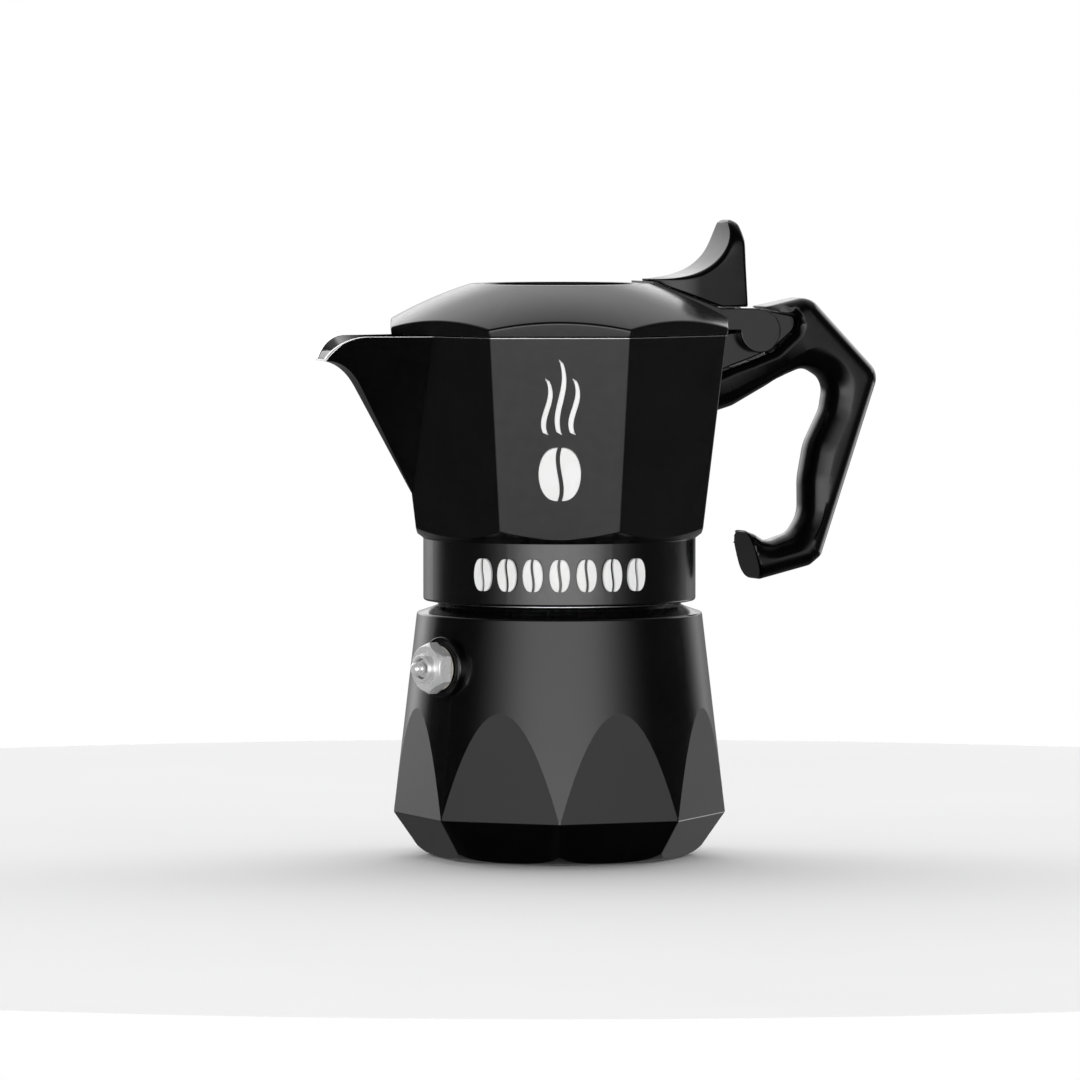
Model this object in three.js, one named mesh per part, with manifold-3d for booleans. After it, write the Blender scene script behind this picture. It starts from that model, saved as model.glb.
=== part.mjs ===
// A three-cup stove-top moka pot: boiler, funnel, collector with its spout, lid and handle.
// Millimetres, +Z up. The origin is the middle of the flat base, +X points to the handle
// and -X to the spout.
import * as THREE from 'three';
import Module from 'manifold-3d';
import { mergeVertices } from 'three/addons/utils/BufferGeometryUtils.js';

const wasm = await Module();
wasm.setup();

// ---- driving dimensions -------------------------------------------------------------
const GAP = 0.3; // free space between neighbouring pieces
const SHOWN_ROUND = 64; // sides of a large turned surface on the outside
const ROUND = 40; // sides of a large turned surface inside
const SMALL_ROUND = 20; // sides of a small turned surface
const OCTAGON = Math.cos(Math.PI / 8); // inner radius of an octagon over its corner radius

// boiler
const WIDEST_R = 44.46; // corner radius of the widest line
const WIDEST_Z = 11.5;
const CONE_SLOPE = 0.1163; // loss of radius for each millimetre of height
const SHOULDER_Z = 65.3;
const NECK_R = 32.1;
const NECK_BORE_R = 27;
const NECK_TOP_Z = 77;
const BASE_CORNER_R = 38.8; // corner radius where the lower facets meet the rounded base
const BASE_CORNER_Z = 3.4;
const BASE_FLAT_R = 31.5;
const BASE_EDGE_R = 10;
const FLOOR_Z = 4;

// safety valve, measured along its own axis from the middle of the pot
const VALVE_Z = 52;
const VALVE_TURN = THREE.MathUtils.degToRad(-162.5);
const VALVE_SHANK_R = 5;
const BOSS_R = 8.2;
const BOSS_END = 41.3;
const NUT_START = 42.4;
const NUT_END = 46.4;
const NUT_CORNER_R = 6.9;
const COLLAR_R = 3.85;
const COLLAR_END = 48.2;
const VALVE_BORE_R = 2.75;
const PISTON_TIP = 50.8;

// funnel and seal
const FUNNEL_FLANGE_R = 29.8;
const BASKET_R = 26.6;
const BASKET_BORE_R = 25.9;
const BASKET_FLOOR_Z = 61.4;
const STEM_R = 5;
const STEM_BORE_R = 4;
const STEM_END_Z = 8;
const STEM_TOP_Z = 54;
const FUNNEL_ROUND = 32; // sides of the basket
const STEM_ROUND = 12; // sides of the stem
const GASKET_R = 32.5;
const GASKET_BORE_R = 26.5;
const GASKET_Z = 78.6;
const GASKET_HEIGHT = 3.5;
const PLATE_R = 31.1;
const PLATE_HEIGHT = 0.6;

// collector
const RIM_Z = 139.9;
const RIM_INNER_R = 44.4; // from the axis to the middle of a facet, at the rim
const FACET_SLOPE = 0.1195;
const BAND_TOP_Z = 85.3;
const BAND_BOTTOM_Z = 68.6;
const BAND_R = 36.5;
const BAND_BORE_R = 32.9;
const WALL = 2.6;
const COLUMN_TOP_Z = 126;
const CHANNEL_R = 3.8;
const SPIGOT_R = 6; // of the column, in the floor of the cup

// spout
const SPOUT_ROOT_X = -42.1;
const SPOUT_ROOT_HALF = 14.3;
const SPOUT_APEX_X = -42.6;
const SPOUT_APEX_Z = 98;
const SPOUT_TIP_X = -68.4;
const SPOUT_TIP_Z = 133.9;
const SPOUT_TIP_HALF = 3.6;
const LIP_DROP_X = -58.5; // the lip is level as far as this
const LIP_DROP_R = 11.2;
const SPOUT_WALL = 1.7;

// hinge, lid, lever and handle
const HINGE_X = 55.5;
const HINGE_Z = 140.2;
const BARREL_R = 5.9;
const PIN_R = 1.5;
const LUG_HALF = 5;
const ARM_HALF = 7.9;
const LEVER_HALF = 8;
const LEVER_WIDE_X = 38; // the lever narrows to a rounded point from here
const HANDLE_HALF = 7.4;
const LID_BOTTOM_Z = 140.2;
const LID_INNER_R = 44.7; // from the axis to the middle of a skirt facet
const LID_WALL = 2.2;
const LID_TOP_R = 24;
const LID_TOP_Z = 153.3;
const DISC_R = 20.6;
const DISC_FLOOR_Z = 151.2;
const DISC_TOP_Z = 152.2;
const BRACKET_FRONT_X = 24.2;
const BRACKET_FRONT_Z = 153.7;
const BRACKET_KNEE_X = 44.1;
const BRACKET_TOP_Z = 146.4;
const LID_SCREW_X = [31.5, 39];
const HANDLE_SCREW_X = 61.5;

// ---- finishes -------------------------------------------------------------------------
const finish = (color, roughness, metalness) =>
  new THREE.MeshStandardMaterial({ color, roughness, metalness });
const blackPaint = finish(0x16171a, 0.3, 0.1);
const blackPlastic = finish(0x101113, 0.35, 0);
const aluminium = finish(0xb9bcc0, 0.35, 1);
const steel = finish(0xd5d7da, 0.2, 1);
const rubber = finish(0xe6e2d8, 0.8, 0);
const whiteEnamel = finish(0xf4f4f2, 0.35, 0);

// ---- helpers --------------------------------------------------------------------------

// Turns a closed three.js geometry into a solid, with its faces pointing out.
function solid(geometry) {
  const bare = geometry.clone();
  bare.deleteAttribute('normal');
  bare.deleteAttribute('uv');
  const merged = mergeVertices(bare, 1e-4);
  const place = merged.getAttribute('position');
  const corner = [new THREE.Vector3(), new THREE.Vector3(), new THREE.Vector3()];
  const triangles = [];
  let volume = 0;
  for (let i = 0; i < merged.index.count; i += 3) {
    const abc = [0, 1, 2].map((k) => merged.index.getX(i + k));
    if (new Set(abc).size < 3) continue;
    abc.forEach((vertex, k) => corner[k].fromBufferAttribute(place, vertex));
    volume += corner[0].dot(corner[1].clone().cross(corner[2]));
    triangles.push(abc);
  }
  if (volume < 0) triangles.forEach((abc) => abc.reverse());
  return new wasm.Manifold(new wasm.Mesh({
    numProp: 3,
    vertProperties: Float32Array.from(place.array),
    triVerts: Uint32Array.from(triangles.flat()),
  }));
}

function geometryOf(body) {
  const mesh = body.getMesh();
  const geometry = new THREE.BufferGeometry();
  geometry.setAttribute('position', new THREE.BufferAttribute(mesh.vertProperties, 3));
  geometry.setIndex(new THREE.BufferAttribute(mesh.triVerts, 1));
  geometry.computeVertexNormals();
  return geometry;
}

// A turned solid about Z from [radius, height] points that start and end on the axis,
// or that close on themselves.
function turned(points, sides = ROUND) {
  const profile = points.map(([r, z]) => new THREE.Vector2(r, z));
  return solid(new THREE.LatheGeometry(profile, sides).rotateX(Math.PI / 2));
}

function tube(outer, inner, bottom, top, sides = ROUND) {
  return turned([[inner, bottom], [outer, bottom], [outer, top], [inner, top], [inner, bottom]], sides);
}

function rod(radius, bottom, top, sides = SMALL_ROUND) {
  return turned([[0, bottom], [radius, bottom], [radius, top], [0, top]], sides);
}

// An eight-sided solid with a corner on +X, from [corner radius, height] points.
function octagonal(points) {
  return turned(points, 8);
}

// A rod along Y.
function crossRod(radius, x, z, from, to) {
  const shape = new THREE.CylinderGeometry(radius, radius, to - from, SMALL_ROUND);
  return solid(shape.translate(x, (from + to) / 2, z));
}

function block(x0, x1, y0, y1, z0, z1) {
  const shape = new THREE.BoxGeometry(x1 - x0, y1 - y0, z1 - z0);
  return solid(shape.translate((x0 + x1) / 2, (y0 + y1) / 2, (z0 + z1) / 2));
}

// A closed outline from [x, y, radius] corners; a corner with no radius stays sharp.
function outline(corners) {
  const shape = new THREE.Shape();
  corners.forEach(([x, y, radius = 0], i) => {
    const here = new THREE.Vector2(x, y);
    const before = corners[(i + corners.length - 1) % corners.length];
    const after = corners[(i + 1) % corners.length];
    const toward = (other) => {
      const edge = new THREE.Vector2(other[0], other[1]).sub(here);
      return edge.setLength(Math.min(radius, 0.48 * edge.length())).add(here);
    };
    const start = radius ? toward(before) : here;
    if (i === 0) shape.moveTo(start.x, start.y);
    else shape.lineTo(start.x, start.y);
    if (radius) {
      const end = toward(after);
      shape.quadraticCurveTo(x, y, end.x, end.y);
    }
  });
  shape.closePath();
  return shape;
}

// A side view in X and Z, made into a plate between two places along Y.
function plate(shape, from, to, bevel = 0) {
  const geometry = new THREE.ExtrudeGeometry(shape, {
    depth: to - from - 2 * bevel,
    curveSegments: 5,
    bevelEnabled: bevel > 0,
    bevelThickness: bevel,
    bevelSize: bevel,
    bevelOffset: -bevel,
    bevelSegments: 2,
  });
  return solid(geometry.rotateX(Math.PI / 2).translate(0, to - bevel, 0));
}

function node(name, geometry, material) {
  const mesh = new THREE.Mesh(geometry, material);
  mesh.name = name;
  return mesh;
}

const piece = (name, body, material) => node(name, geometryOf(body), material);

// ---- boiler ---------------------------------------------------------------------------
function boilerOuter() {
  const coneAt = (z) => WIDEST_R - CONE_SLOPE * (z - WIDEST_Z);
  const baseEdge = [0, 0.25, 0.5, 0.75, 1].map((t) => {
    const angle = t * 0.85;
    return [BASE_FLAT_R + BASE_EDGE_R * Math.sin(angle), BASE_EDGE_R * (1 - Math.cos(angle))];
  });
  const body = turned([
    [0, 0], ...baseEdge, [46, 8.5], [coneAt(9), 9],
    [coneAt(SHOULDER_Z - 0.4), SHOULDER_Z - 0.4], [coneAt(SHOULDER_Z) - 0.5, SHOULDER_Z],
    [34.1, 66.7], [32.9, 67.3], [NECK_R, 68.6], [NECK_R, NECK_TOP_Z - 0.7],
    [NECK_R - 0.7, NECK_TOP_Z], [0, NECK_TOP_Z],
  ], SHOWN_ROUND);
  const taper = (WIDEST_R - BASE_CORNER_R) / (WIDEST_Z - BASE_CORNER_Z);
  const facets = octagonal([
    [0, -1], [BASE_CORNER_R - taper * (BASE_CORNER_Z + 1), -1], [WIDEST_R, WIDEST_Z],
    [WIDEST_R, NECK_TOP_Z + 1], [0, NECK_TOP_Z + 1],
  ]).rotate([0, 0, 22.5]);
  return body.intersect(facets);
}

function boilerHollow() {
  return turned([
    [0, FLOOR_Z], [30, FLOOR_Z], [34.5, 6.6], [37.4, 12], [35, 58], [33, 63],
    [NECK_BORE_R, 65.5], [NECK_BORE_R, NECK_TOP_Z + 1], [0, NECK_TOP_Z + 1],
  ]);
}

// Along the valve's axis: a rod laid from its own +Z onto the pot's wall.
const onValveAxis = (body) =>
  body.rotate([0, 90, 0]).rotate([0, 0, THREE.MathUtils.radToDeg(VALVE_TURN)]).translate([0, 0, VALVE_Z]);

function boiler() {
  const boss = onValveAxis(rod(BOSS_R, 37, BOSS_END));
  const hole = onValveAxis(rod(VALVE_SHANK_R + GAP, 30, BOSS_END + 1));
  return boilerOuter().add(boss).subtract(boilerHollow()).subtract(hole);
}

// ---- safety valve: every piece is turned about the group's own +Z ----------------------
function valveBody() {
  const hex = turned([
    [0, NUT_START], [NUT_CORNER_R, NUT_START], [NUT_CORNER_R, NUT_END], [0, NUT_END],
  ], 6);
  const chamfer = turned([
    [0, NUT_START], [7.2, NUT_START], [7.2, NUT_END - 0.9], [5.9, NUT_END], [0, NUT_END],
  ], SMALL_ROUND);
  const shank = rod(VALVE_SHANK_R, 35.6, NUT_START + 1);
  const collar = rod(COLLAR_R, NUT_END - 1, COLLAR_END);
  const bore = rod(VALVE_BORE_R, 37.6, COLLAR_END + 1);
  const inlet = rod(1.2, 34, 38);
  return hex.intersect(chamfer).add(shank).add(collar).subtract(bore).subtract(inlet);
}

const valveWasher = () =>
  tube(5.9, VALVE_SHANK_R + GAP, BOSS_END + GAP, NUT_START - GAP, SMALL_ROUND);

function valvePiston() {
  return turned([
    [0, 38], [2.4, 38], [2.4, 39.2], [0.9, 39.2], [0.9, 47.5], [1.7, 47.6], [1.7, 48.6],
    [1.35, 48.8], [1.35, 49.1], [1.7, 49.3], [1.7, 50], [1.1, PISTON_TIP], [0, PISTON_TIP],
  ], 16);
}

class Helix extends THREE.Curve {
  constructor(radius, from, to, turns) {
    super();
    Object.assign(this, { radius, from, to, turns });
  }

  getPoint(t, target = new THREE.Vector3()) {
    const angle = 2 * Math.PI * this.turns * t;
    const height = THREE.MathUtils.lerp(this.from, this.to, t);
    return target.set(this.radius * Math.cos(angle), this.radius * Math.sin(angle), height);
  }
}

function valveSpring() {
  const wire = new THREE.Shape().absarc(0, 0, 0.24, 0, 2 * Math.PI);
  const geometry = new THREE.ExtrudeGeometry(wire, {
    steps: 54,
    curveSegments: 3,
    bevelEnabled: false,
    extrudePath: new Helix(2.1, 39.8, 45.9, 6),
  });
  return solid(geometry);
}

function valve() {
  const group = new THREE.Group();
  group.add(
    piece('valve_body', valveBody(), steel),
    piece('valve_washer', valveWasher(), rubber),
    piece('valve_piston', valvePiston(), steel),
    piece('valve_spring', valveSpring(), steel),
    piece('valve_retainer', tube(2.45, 1.25, 46.5, 47.1, 16), steel),
  );
  group.rotation.set(0, Math.PI / 2, 0);
  const turn = new THREE.Group();
  turn.add(group);
  turn.rotation.z = VALVE_TURN;
  turn.position.z = VALVE_Z;
  return turn;
}

// ---- funnel, strainer, gasket and filter plate -------------------------------------------
function funnelBasket() {
  const seat = NECK_TOP_Z + GAP;
  const socketR = STEM_R + GAP;
  return turned([
    [BASKET_R, seat], [FUNNEL_FLANGE_R, seat], [FUNNEL_FLANGE_R, seat + 0.9],
    [BASKET_BORE_R, seat + 0.9], [BASKET_BORE_R, BASKET_FLOOR_Z], [24, BASKET_FLOOR_Z],
    [24, BASKET_FLOOR_Z - 1.2], [socketR, STEM_TOP_Z], [socketR, STEM_TOP_Z - 3.6],
    [socketR + 0.9, STEM_TOP_Z - 3.6], [socketR + 0.9, STEM_TOP_Z - 0.6], [24.8, 59.2],
    [BASKET_R, 60.8], [BASKET_R, seat],
  ], FUNNEL_ROUND);
}

const funnelStem = () => tube(STEM_R, STEM_BORE_R, STEM_END_Z, STEM_TOP_Z, STEM_ROUND);

// A round sheet with rings of holes about its middle.
function perforated(radius, bottom, height, rings, holeR) {
  let sheet = rod(radius, bottom, bottom + height, ROUND);
  const hole = rod(holeR, bottom - 1, bottom + height + 1, 6);
  rings.forEach(([ringR, count]) => {
    for (let i = 0; i < count; i += 1) {
      const angle = (2 * Math.PI * i) / count;
      sheet = sheet.subtract(hole.translate([ringR * Math.cos(angle), ringR * Math.sin(angle), 0]));
    }
  });
  return sheet;
}

// ---- collector ------------------------------------------------------------------------
const facetInnerR = (z) => RIM_INNER_R - FACET_SLOPE * (RIM_Z - z);

// The eight-sided cup, grown or shrunk on every side by an offset.
function cup(offset, bottom, top) {
  const cornerAt = (z) => (facetInnerR(z) + offset) / OCTAGON;
  return octagonal([[0, bottom], [cornerAt(bottom), bottom], [cornerAt(top), top], [0, top]]);
}

function lip(t) {
  const x = THREE.MathUtils.lerp(SPOUT_ROOT_X, SPOUT_TIP_X, t);
  const past = Math.max(0, LIP_DROP_X - x);
  const fullness = 2.2 * Math.sin(Math.PI * Math.min(1, Math.max(0, t)) ** 1.6);
  return {
    x,
    half: THREE.MathUtils.lerp(SPOUT_ROOT_HALF, SPOUT_TIP_HALF, t) + fullness,
    z: RIM_Z - (LIP_DROP_R - Math.sqrt(LIP_DROP_R ** 2 - past ** 2)),
  };
}

const KEEL_STRAIGHT = 0.71; // share of the keel below its curve
const keelCurve = new THREE.QuadraticBezierCurve(
  new THREE.Vector2(-58, 126.4),
  new THREE.Vector2(-61.9, 133.4),
  new THREE.Vector2(SPOUT_TIP_X, SPOUT_TIP_Z - 0.5),
);

function keel(t) {
  const along = Math.min(1, Math.max(0, t / KEEL_STRAIGHT));
  const apex = new THREE.Vector2(SPOUT_APEX_X, SPOUT_APEX_Z);
  const place = t <= KEEL_STRAIGHT
    ? apex.lerp(keelCurve.v0, along)
    : keelCurve.getPoint((t - KEEL_STRAIGHT) / (1 - KEEL_STRAIGHT));
  const half = t <= KEEL_STRAIGHT
    ? THREE.MathUtils.lerp(0.5, 2.6, along)
    : THREE.MathUtils.lerp(2.6, SPOUT_TIP_HALF, (t - KEEL_STRAIGHT) / (1 - KEEL_STRAIGHT));
  return { x: place.x, half, z: place.y };
}

// The beak between its keel and its lip. A wall of zero gives the outside; a thicker wall
// gives the hollow, which runs on past the lip so that the top is open.
function spout(wall) {
  const steps = 18;
  const geometry = new THREE.BoxGeometry(1, 1, 1, steps, 1, 4);
  const place = geometry.getAttribute('position');
  for (let i = 0; i < place.count; i += 1) {
    const step = Math.round((place.getX(i) + 0.5) * steps);
    const side = Math.sign(place.getY(i));
    const rise = (place.getZ(i) + 0.5) * (wall > 0 ? 1.25 : 1);
    const t = (step / steps) * (wall > 0 ? 0.93 : 1);
    const low = keel(t);
    const high = lip(t);
    const inward = step === 0 ? 6 + 2 * wall : 0;
    const narrow = Math.max(0.25, THREE.MathUtils.lerp(low.half, high.half, rise) - wall);
    place.setXYZ(
      i,
      THREE.MathUtils.lerp(low.x + 0.9 * wall, high.x, rise) + inward,
      side * narrow,
      THREE.MathUtils.lerp(low.z + 0.5 * wall, high.z, rise),
    );
  }
  return solid(geometry);
}

function hingeLug() {
  const side = outline([
    [41, 127.4], [48.3, 130.9, 2.5], [53.4, 132.6, 3], [60.5, 135.3, 3.5], [66.8, 140.6, 2.2],
    [66.9, 144.1, 1.6], [62.2, 145, 1.5], [57.4, 146, 1], [53, 146.3, 1.5], [49.5, 144, 1.5],
    [49.5, 139.9, 0.5], [41, 139.6],
  ]);
  const tenon = block(60, 72, -2.5, 2.5, 136.6, 142.2);
  return plate(side, -LUG_HALF, LUG_HALF).add(tenon);
}

function column() {
  const shaft = turned([
    [0, 88.6], [SPIGOT_R, 88.6], [SPIGOT_R, 93.7], [8.4, 93.7], [8.4, 94.4], [7.4, 100],
    [6.2, COLUMN_TOP_Z - 4], [6.2, COLUMN_TOP_Z - 1.5], [4.5, COLUMN_TOP_Z], [0, COLUMN_TOP_Z],
  ], SMALL_ROUND);
  return shaft.subtract(rod(CHANNEL_R, 80, COLUMN_TOP_Z - 3))
    .subtract(block(-8, 8, -1.6, 1.6, COLUMN_TOP_Z - 6.5, COLUMN_TOP_Z - 3));
}

function collector() {
  const underside = turned([
    [0, BAND_TOP_Z], [BAND_R, BAND_TOP_Z], [38.1, 86.5], [41.2, 88.4], [52, 95], [52, 150], [0, 150],
  ], SHOWN_ROUND);
  const shell = cup(0, 80, RIM_Z).intersect(underside);
  const band = turned([
    [0, BAND_BOTTOM_Z], [BAND_R - 0.7, BAND_BOTTOM_Z], [BAND_R - 0.2, BAND_BOTTOM_Z + 0.5],
    [BAND_R, BAND_TOP_Z + 0.5], [0, BAND_TOP_Z + 0.5],
  ], SHOWN_ROUND);
  const floor = turned([
    [0, 94.2], [8.5, 93], [31, 90], [35, 91.2], [38, 96], [60, 110], [60, 150], [0, 150],
  ]);
  const hollow = cup(-WALL, 86, 150).intersect(floor);
  const seatZ = GASKET_Z + GASKET_HEIGHT + GAP;
  const bore = turned([
    [0, 60], [BAND_BORE_R, 60], [BAND_BORE_R, seatZ], [PLATE_R + GAP, seatZ],
    [PLATE_R + GAP, seatZ + PLATE_HEIGHT + GAP], [27, seatZ + PLATE_HEIGHT + GAP], [SPIGOT_R + GAP, 88],
    [SPIGOT_R + GAP, 100], [0, 100],
  ]);
  const pinHole = crossRod(PIN_R + GAP, HINGE_X, HINGE_Z, -9, 9);
  const screwHole = rod(1.5 + GAP, 130, 141).translate([HANDLE_SCREW_X, 0, 0]);
  return shell.add(band).add(spout(0)).add(hingeLug())
    .subtract(hollow).subtract(spout(SPOUT_WALL))
    .subtract(bore).subtract(pinHole).subtract(screwHole);
}

// ---- lid, bracket and lever -------------------------------------------------------------
function dome(offset) {
  return turned([
    [0, 100], [60, 100], [60, 137.2 + offset], [48.4, 142.6 + offset], [44.7, 144.3 + offset],
    [39.5, 147 + offset], [33, 150 + offset], [26.6, 152.5 + offset], [LID_TOP_R, LID_TOP_Z + offset],
    [0, LID_TOP_Z + offset],
  ], SHOWN_ROUND);
}

// The skirt, leaning outward like the cup below it. innerR is measured at its bottom edge.
function lidPrism(innerR, bottom) {
  const corner = (z) => (innerR + FACET_SLOPE * (z - LID_BOTTOM_Z)) / OCTAGON;
  return octagonal([[0, bottom], [corner(bottom), bottom], [corner(160), 160], [0, 160]]);
}

const lidScrewHoles = () =>
  LID_SCREW_X.map((x) => rod(1.25 + GAP, 138, 153.6, 16).translate([x, 0, 0]));

function lid() {
  const outer = lidPrism(LID_INNER_R, LID_BOTTOM_Z).intersect(dome(0));
  const inner = lidPrism(LID_INNER_R - LID_WALL, 130).intersect(dome(-LID_WALL - 0.3));
  const recess = rod(DISC_R, DISC_FLOOR_Z, 160, ROUND);
  const shell = outer.subtract(inner).add(rod(DISC_R + 2, DISC_FLOOR_Z - 2.2, DISC_FLOOR_Z, ROUND))
    .subtract(recess);
  return lidScrewHoles().reduce((body, hole) => body.subtract(hole), shell);
}

function lidBracket() {
  const bottom = LID_BOTTOM_Z + 0.2;
  const side = new THREE.Shape();
  side.moveTo(BRACKET_FRONT_X, BRACKET_FRONT_Z);
  side.lineTo(BRACKET_KNEE_X, BRACKET_TOP_Z);
  side.lineTo(HINGE_X, HINGE_Z + BARREL_R + 0.2);
  side.absarc(HINGE_X, HINGE_Z, BARREL_R, Math.PI / 2, -Math.PI, true);
  side.lineTo(HINGE_X - BARREL_R, bottom);
  side.lineTo(BRACKET_FRONT_X, bottom);
  side.closePath();
  const grownLid = lidPrism(LID_INNER_R + GAP, 130).intersect(dome(GAP));
  const slot = block(48.7, 70, -LUG_HALF - GAP, LUG_HALF + GAP, 130, 160);
  const pinHole = crossRod(PIN_R + GAP, HINGE_X, HINGE_Z, -ARM_HALF + 0.6, 12);
  const body = plate(side, -ARM_HALF, ARM_HALF).subtract(grownLid).subtract(slot).subtract(pinHole);
  return lidScrewHoles().reduce((rest, hole) => rest.subtract(hole), body);
}

function thumbLever() {
  const side = new THREE.Shape();
  side.moveTo(24.9, 154);
  side.lineTo(BRACKET_KNEE_X, BRACKET_TOP_Z + GAP + 0.05);
  side.lineTo(51.9, BRACKET_TOP_Z + GAP);
  side.lineTo(51.4, 158);
  side.lineTo(51.1, 163.7);
  side.quadraticCurveTo(50.6, 169.4, 48.7, 170.4);
  side.quadraticCurveTo(47.9, 170.4, 47.4, 168.4);
  side.quadraticCurveTo(44.6, 155.6, 24.9, 154.5);
  side.closePath();
  const front = new THREE.Shape();
  front.moveTo(-LEVER_HALF, 140);
  front.lineTo(LEVER_HALF, 140);
  front.lineTo(LEVER_HALF, 162.4);
  front.absarc(0, 162.4, LEVER_HALF, 0, Math.PI, false);
  front.closePath();
  const tongue = new THREE.ExtrudeGeometry(front, { depth: 40, curveSegments: 12, bevelEnabled: false });
  tongue.rotateX(Math.PI / 2).rotateZ(Math.PI / 2).translate(20, 0, 0);
  const plan = new THREE.Shape();
  plan.absellipse(LEVER_WIDE_X, 0, 13.5, LEVER_HALF, Math.PI / 2, 1.5 * Math.PI, false, 0);
  plan.lineTo(60, -LEVER_HALF);
  plan.lineTo(60, LEVER_HALF);
  plan.closePath();
  const pointed = new THREE.ExtrudeGeometry(plan, { depth: 40, curveSegments: 12, bevelEnabled: false });
  const body = plate(side, -LEVER_HALF, LEVER_HALF).intersect(solid(tongue))
    .intersect(solid(pointed.translate(0, 0, 140)));
  return lidScrewHoles().reduce((rest, hole) => rest.subtract(hole), body);
}

function lidScrew(headTop, end) {
  return turned([
    [0, headTop - 1.6], [1.6, headTop - 1.6], [2.6, headTop - 0.9], [2.6, headTop], [1.25, headTop],
    [1.25, end], [0, end],
  ], 16);
}

// ---- handle ---------------------------------------------------------------------------
function handleOutline() {
  return outline([
    [43.6, 118.7], [49.5, 119.9, 3], [56.5, 123.6, 4], [65, 128, 3], [71.2, 130.4, 3.5],
    [78.2, 126.2, 3.5], [77, 118.8, 3.5], [72.3, 109.5, 4], [70.5, 100, 4], [70.6, 90.2, 3],
    [67.4, 85.5, 2.5], [60, 82.9, 2.5], [56.8, 85, 1.2], [53, 86.2, 1.2], [54.4, 78.5, 3],
    [56.6, 72.9, 1.6], [71.8, 76.5, 3.5], [75, 79, 2.5], [92.2, 128.4, 4.5], [71.6, 149.4, 4.5],
    [57.6, 146.5], [62.2, 145.4, 1.5], [67.4, 144.5, 1.8], [67.3, 140.4, 2.4], [60.8, 134.8, 3.5],
    [53.5, 132.1, 3], [48.2, 130.4, 2], [46.9, 127, 2],
  ]);
}

function handle() {
  const sideRelief = (from, to) => block(50, 62.6, from, to, 143, 160);
  const tenonPocket = block(59, 72 + GAP, -2.5 - GAP, 2.5 + GAP, 136.6 - GAP, 142.2 + GAP);
  const screwHole = rod(1.5 + GAP, 120, 145).translate([HANDLE_SCREW_X, 0, 0]);
  const counterbore = rod(3.6, 110, 129.4).translate([HANDLE_SCREW_X, 0, 0]);
  return plate(handleOutline(), -HANDLE_HALF, HANDLE_HALF)
    .subtract(cup(GAP, 90, RIM_Z + 5))
    .subtract(sideRelief(-9, -LUG_HALF)).subtract(sideRelief(LUG_HALF, 9))
    .subtract(tenonPocket).subtract(screwHole).subtract(counterbore);
}

function handleScrew() {
  return turned([
    [0, 127.6], [2.4, 127.6], [3.2, 128.2], [3.2, 129.1], [1.5, 129.1], [1.5, 139.5], [0, 140.4],
  ], 16);
}

// ---- plain ornament ---------------------------------------------------------------------

// A coffee bean standing upright, with the slit down its middle left open.
function beanHalves(width, height, slit) {
  return [-1, 1].map((side) => {
    const shape = new THREE.Shape();
    const inner = (side * slit) / 2;
    shape.moveTo(inner, -height / 2 + 0.4);
    shape.bezierCurveTo(
      side * width * 0.66, -height / 2, side * width * 0.66, height / 2, inner, height / 2 - 0.4,
    );
    shape.bezierCurveTo(inner - 0.16 * width, height * 0.17, inner + 0.16 * width, -height * 0.17,
      inner, -height / 2 + 0.4);
    shape.closePath();
    return shape;
  });
}

// Raised beans in a row round the front of the band, on one thin strip.
function bandOrnament() {
  const count = 7;
  const pitch = THREE.MathUtils.degToRad(11);
  const middle = THREE.MathUtils.degToRad(-112.5);
  const z = (BAND_BOTTOM_Z + BAND_TOP_Z) / 2;
  const shell = tube(BAND_R + GAP + 0.9, BAND_R + GAP, z - 8, z + 8, SHOWN_ROUND);
  const strip = new THREE.BoxGeometry(BAND_R * 1.3, 30, 1.6).translate(0, -BAND_R, z);
  const thin = tube(BAND_R + GAP + 0.3, BAND_R + GAP, z - 8, z + 8, SHOWN_ROUND);
  let row = solid(strip.rotateZ(middle + Math.PI / 2)).intersect(thin);
  for (let i = 0; i < count; i += 1) {
    const angle = middle + (i - (count - 1) / 2) * pitch;
    beanHalves(5.2, 9.4, 0.7).forEach((half) => {
      const stamp = new THREE.ExtrudeGeometry(half, { depth: 8, curveSegments: 4, bevelEnabled: false });
      stamp.rotateX(Math.PI / 2).translate(0, -BAND_R + 4, z).rotateZ(angle + Math.PI / 2);
      row = row.add(solid(stamp).intersect(shell));
    });
  }
  return row;
}

// A badge of one bean under three curls of steam on a thin back, lying flat.
function emblem() {
  const depth = { depth: 0.9, curveSegments: 6, bevelEnabled: false };
  const back = new THREE.BoxGeometry(6, 24, 0.3).translate(0, 9, 0.15);
  const parts = [back, ...beanHalves(11, 15, 1.1).map((half) => new THREE.ExtrudeGeometry(half, depth))];
  [-3.6, 0, 3.6].forEach((x, i) => {
    const length = i === 1 ? 20 : 15;
    const curl = new THREE.Shape();
    curl.moveTo(x - 0.55, 0);
    curl.bezierCurveTo(x - 3.4, length * 0.33, x + 2.6, length * 0.6, x - 0.2, length);
    curl.lineTo(x + 0.5, length);
    curl.bezierCurveTo(x + 4.2, length * 0.6, x - 1.8, length * 0.33, x + 0.55, 0);
    curl.closePath();
    parts.push(new THREE.ExtrudeGeometry(curl, depth).translate(0, 10.5, 0));
  });
  return parts.map(solid).reduce((all, part) => all.add(part));
}

function emblemNode() {
  const badge = piece('emblem', emblem(), whiteEnamel);
  const lean = Math.atan(FACET_SLOPE);
  badge.rotation.x = Math.PI / 2 + lean;
  badge.position.set(0, -(facetInnerR(104) + GAP + 0.1), 104);
  const onFacet = new THREE.Group();
  onFacet.add(badge);
  onFacet.rotation.z = THREE.MathUtils.degToRad(-22.5);
  return onFacet;
}

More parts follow.
